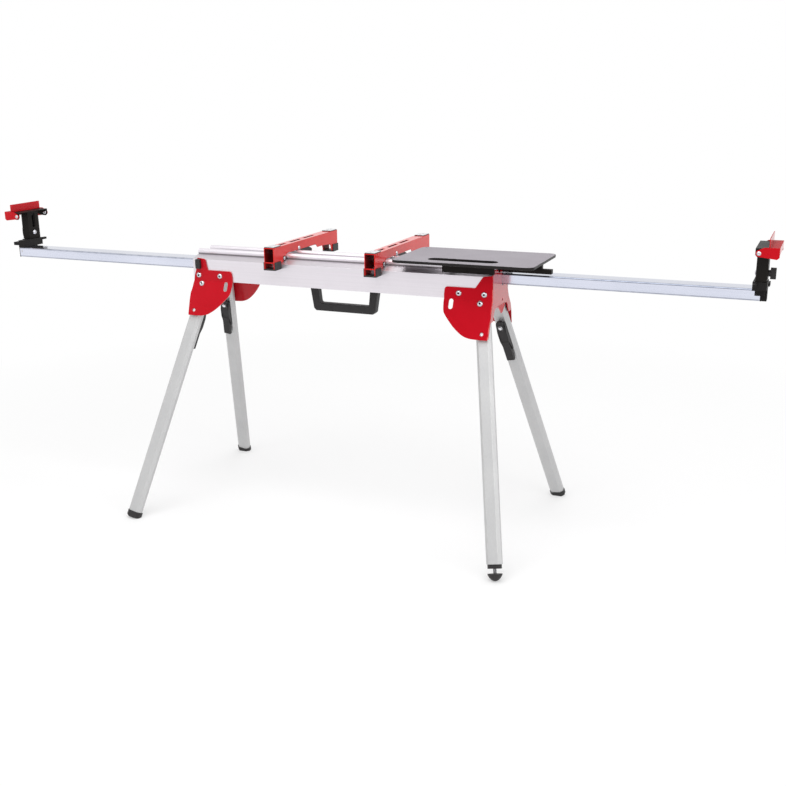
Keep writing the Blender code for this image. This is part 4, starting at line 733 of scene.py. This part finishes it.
# Clamp pads and shoes: each end carries a bright plate on a black gasket, fixed by two screws, and
# a black shoe under it that steadies the channel.
flush_screw = turned("flush_screw", [(0.0, -0.0012), (0.0009, -0.0012), (0.0017, -0.0002), (0.0030, 0.0),
                                     (0.0034, -0.0004)], sides=18, socket=(1, 2), flats=4)
pad_plate = surface("pad_plate", (226, 226, 228), (206, 206, 209), (236, 236, 238), (0.32, 0.46), metallic=0.8,
                    cloud=40.0, grain=700.0, stretch=(1.0, 0.05, 1.0), bump=0.06, rub=0.3)
plate_thick, pad_corner, screw_step, up = 0.0012, 0.004, 0.013, Vector((0.0, 0.0, 1.0))
for word in ("left", "right"):
    for end in ("front", "rear"):
        node = "clamp_pad_" + end + "_" + word
        body = solids[node]["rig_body"]
        low, high = (Vector(corner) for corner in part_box(node))
        plate_z = high.z - plate_thick
        for part, mat, inset, z0, z1 in (("_gasket", black_mould, 0.0, low.z, plate_z),
                                         ("_plate", pad_plate, plate_thick, plate_z - 0.0001, high.z)):
            bm = bmesh.new()
            bmesh.ops.create_cube(bm, size=1.0)
            for vert in bm.verts:
                vert.co.x = low.x + inset if vert.co.x < 0 else high.x - inset
                vert.co.y = low.y + inset if vert.co.y < 0 else high.y - inset
                vert.co.z = z0 if vert.co.z < 0 else z1
            upright = [e for e in bm.edges if abs(e.verts[0].co.z - e.verts[1].co.z) > 0.0001]
            bmesh.ops.bevel(bm, geom=upright, offset=pad_corner, segments=4, profile=0.5, affect="EDGES")
            ease(bm, 0.0004, angle=60.0)
            piece(bm, node + part, mat, body, (node,) if part == "_plate" else ())
        middle = (low + high) / 2
        places = [(Vector((middle.x, middle.y + step, high.z + 0.0001)), up) for step in (-screw_step, screw_step)]
        set_out(node + "_screws", flush_screw, places, black_enamel, body)
        dressed("clamp_shoe_" + end + "_" + word, black_mould, 0.0006)

# Side table: a grey laminated panel with black edges and a hand slot, held down by a screw in each
# corner on a black enamelled carrier that straddles the rails.
table_grey = surface("table_laminate", (142, 136, 144), (131, 125, 133), (34, 31, 31), (0.34, 0.44), cloud=10.0,
                     grain=2400.0, bump=0.1, depth=0.00004, rub=0.9, specular=0.2, soil=(26, 23, 23),
                     mottle=0.6)
panel = merged("table_panel")
ease(panel, 0.0010, angle=40.0)
tone = panel.faces.layers.float.new("soil")
for face in panel.faces:
    face[tone] = 0.0 if face.normal.z > 0.8 else 1.0 if face.normal.z > -0.8 else 0.4
body = solids["table_panel"]["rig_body"]
piece(panel, "table_panel_finished", table_grey, body, ("table_panel",))
low, high = (Vector(corner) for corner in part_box("table_panel"))
screw_in, carrier_screw_x, carrier_screw_z = 0.017, 0.424, 0.8135
places = [(Vector((x, y, high.z + 0.0001)), up)
          for x in (low.x + screw_in, high.x - screw_in) for y in (low.y + screw_in, high.y - screw_in)]
set_out("table_screws", flush_screw, places, black_enamel, body)
dressed("table_carrier", black_enamel, 0.0008)
low, high = (Vector(corner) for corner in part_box("table_carrier"))
places = [(Vector((carrier_screw_x, y, carrier_screw_z)), way)
          for y, way in ((low.y - 0.0004, front), (high.y + 0.0004, rear))]
set_out("carrier_screws", flush_screw, places, black_enamel, body)
for part in (bolt_head, thread, pin_cap, rivet, small_rivet, screw_head, washer, flush_screw):
    bpy.data.objects.remove(part)

# Studio: a pale paper floor that fades to white away from the stand, and a white surround. One broad
# soft lamp hangs overhead in front, with two weaker ones at the right and behind.
floor_mesh = bpy.data.meshes.new("studio_floor")
floor_bm = bmesh.new()
bmesh.ops.create_grid(floor_bm, x_segments=8, y_segments=8, size=30.0)
floor_bm.to_mesh(floor_mesh)
floor_bm.free()
studio_floor = bpy.data.objects.new("studio_floor", floor_mesh)
bpy.context.scene.collection.objects.link(studio_floor)
floor_white = bpy.data.materials.new("floor_white")
floor_white.use_nodes = True
tree = floor_white.node_tree
paper = tree.nodes["Principled BSDF"]
paper.inputs["Base Color"].default_value = (0.92, 0.92, 0.92, 1.0)
paper.inputs["Roughness"].default_value = 0.9
paper.inputs["Specular IOR Level"].default_value = 0.1
glow = tree.nodes.new("ShaderNodeEmission")
place = tree.nodes.new("ShaderNodeTexCoord")
reach = tree.nodes.new("ShaderNodeVectorMath")
reach.operation = "LENGTH"
tree.links.new(place.outputs["Object"], reach.inputs[0])
fade = tree.nodes.new("ShaderNodeMapRange")
fade.inputs["From Min"].default_value = 0.6
fade.inputs["From Max"].default_value = 2.6
fade.inputs["To Min"].default_value = 0.4
tree.links.new(reach.outputs["Value"], fade.inputs["Value"])
mix = tree.nodes.new("ShaderNodeMixShader")
tree.links.new(fade.outputs["Result"], mix.inputs["Fac"])
tree.links.new(paper.outputs["BSDF"], mix.inputs[1])
tree.links.new(glow.outputs["Emission"], mix.inputs[2])
tree.links.new(mix.outputs["Shader"], tree.nodes["Material Output"].inputs["Surface"])
floor_mesh.materials.append(floor_white)
studio_floor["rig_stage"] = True

world = bpy.data.worlds.new("studio")
bpy.context.scene.world = world
world.use_nodes = True
tree = world.node_tree
light_path = tree.nodes.new("ShaderNodeLightPath")
seen = tree.nodes.new("ShaderNodeMath")
seen.operation = "MAXIMUM"
tree.links.new(light_path.outputs["Is Camera Ray"], seen.inputs[0])
tree.links.new(light_path.outputs["Is Glossy Ray"], seen.inputs[1])
through = tree.nodes.new("ShaderNodeMath")
through.operation = "MAXIMUM"
tree.links.new(seen.outputs[0], through.inputs[0])
tree.links.new(light_path.outputs["Is Transmission Ray"], through.inputs[1])
strength = tree.nodes.new("ShaderNodeMapRange")
strength.inputs["To Min"].default_value = 0.64
strength.inputs["To Max"].default_value = 1.0
tree.links.new(through.outputs[0], strength.inputs["Value"])
sky = tree.nodes["Background"]
sky.inputs["Color"].default_value = (1.0, 1.0, 1.0, 1.0)
tree.links.new(strength.outputs["Result"], sky.inputs["Strength"])

for name, spot, size, power in (("overhead_lamp", (0.0, -1.6, 3.6), 3.2, 70.0),
                                ("right_lamp", (3.4, -1.4, 2.6), 2.6, 34.0),
                                ("rear_lamp", (0.0, 1.7, 4.0), 2.6, 26.0)):
    data = bpy.data.lights.new(name, "AREA")
    data.energy = power
    data.size = size
    lamp = bpy.data.objects.new(name, data)
    lamp.location = spot
    lamp.rotation_euler = (Vector((0.0, 0.0, 0.6)) - Vector(spot)).to_track_quat("-Z", "Y").to_euler()
    bpy.context.scene.collection.objects.link(lamp)

lens = bpy.data.cameras.new("camera")
lens.lens = 47.909
lens.sensor_width = 36.0
camera = bpy.data.objects.new("camera", lens)
turn = Matrix.Rotation(radians(23.3682), 4, "Z") @ Matrix.Rotation(radians(73.3543), 4, "X")
camera.matrix_world = (Matrix.Translation((1.3851, -2.8465, 1.3260)) @ turn
                       @ Matrix.Rotation(radians(-0.682), 4, "Z"))
bpy.context.scene.collection.objects.link(camera)
bpy.context.scene.camera = camera
bpy.context.scene.view_settings.view_transform = "Standard"

low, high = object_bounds()
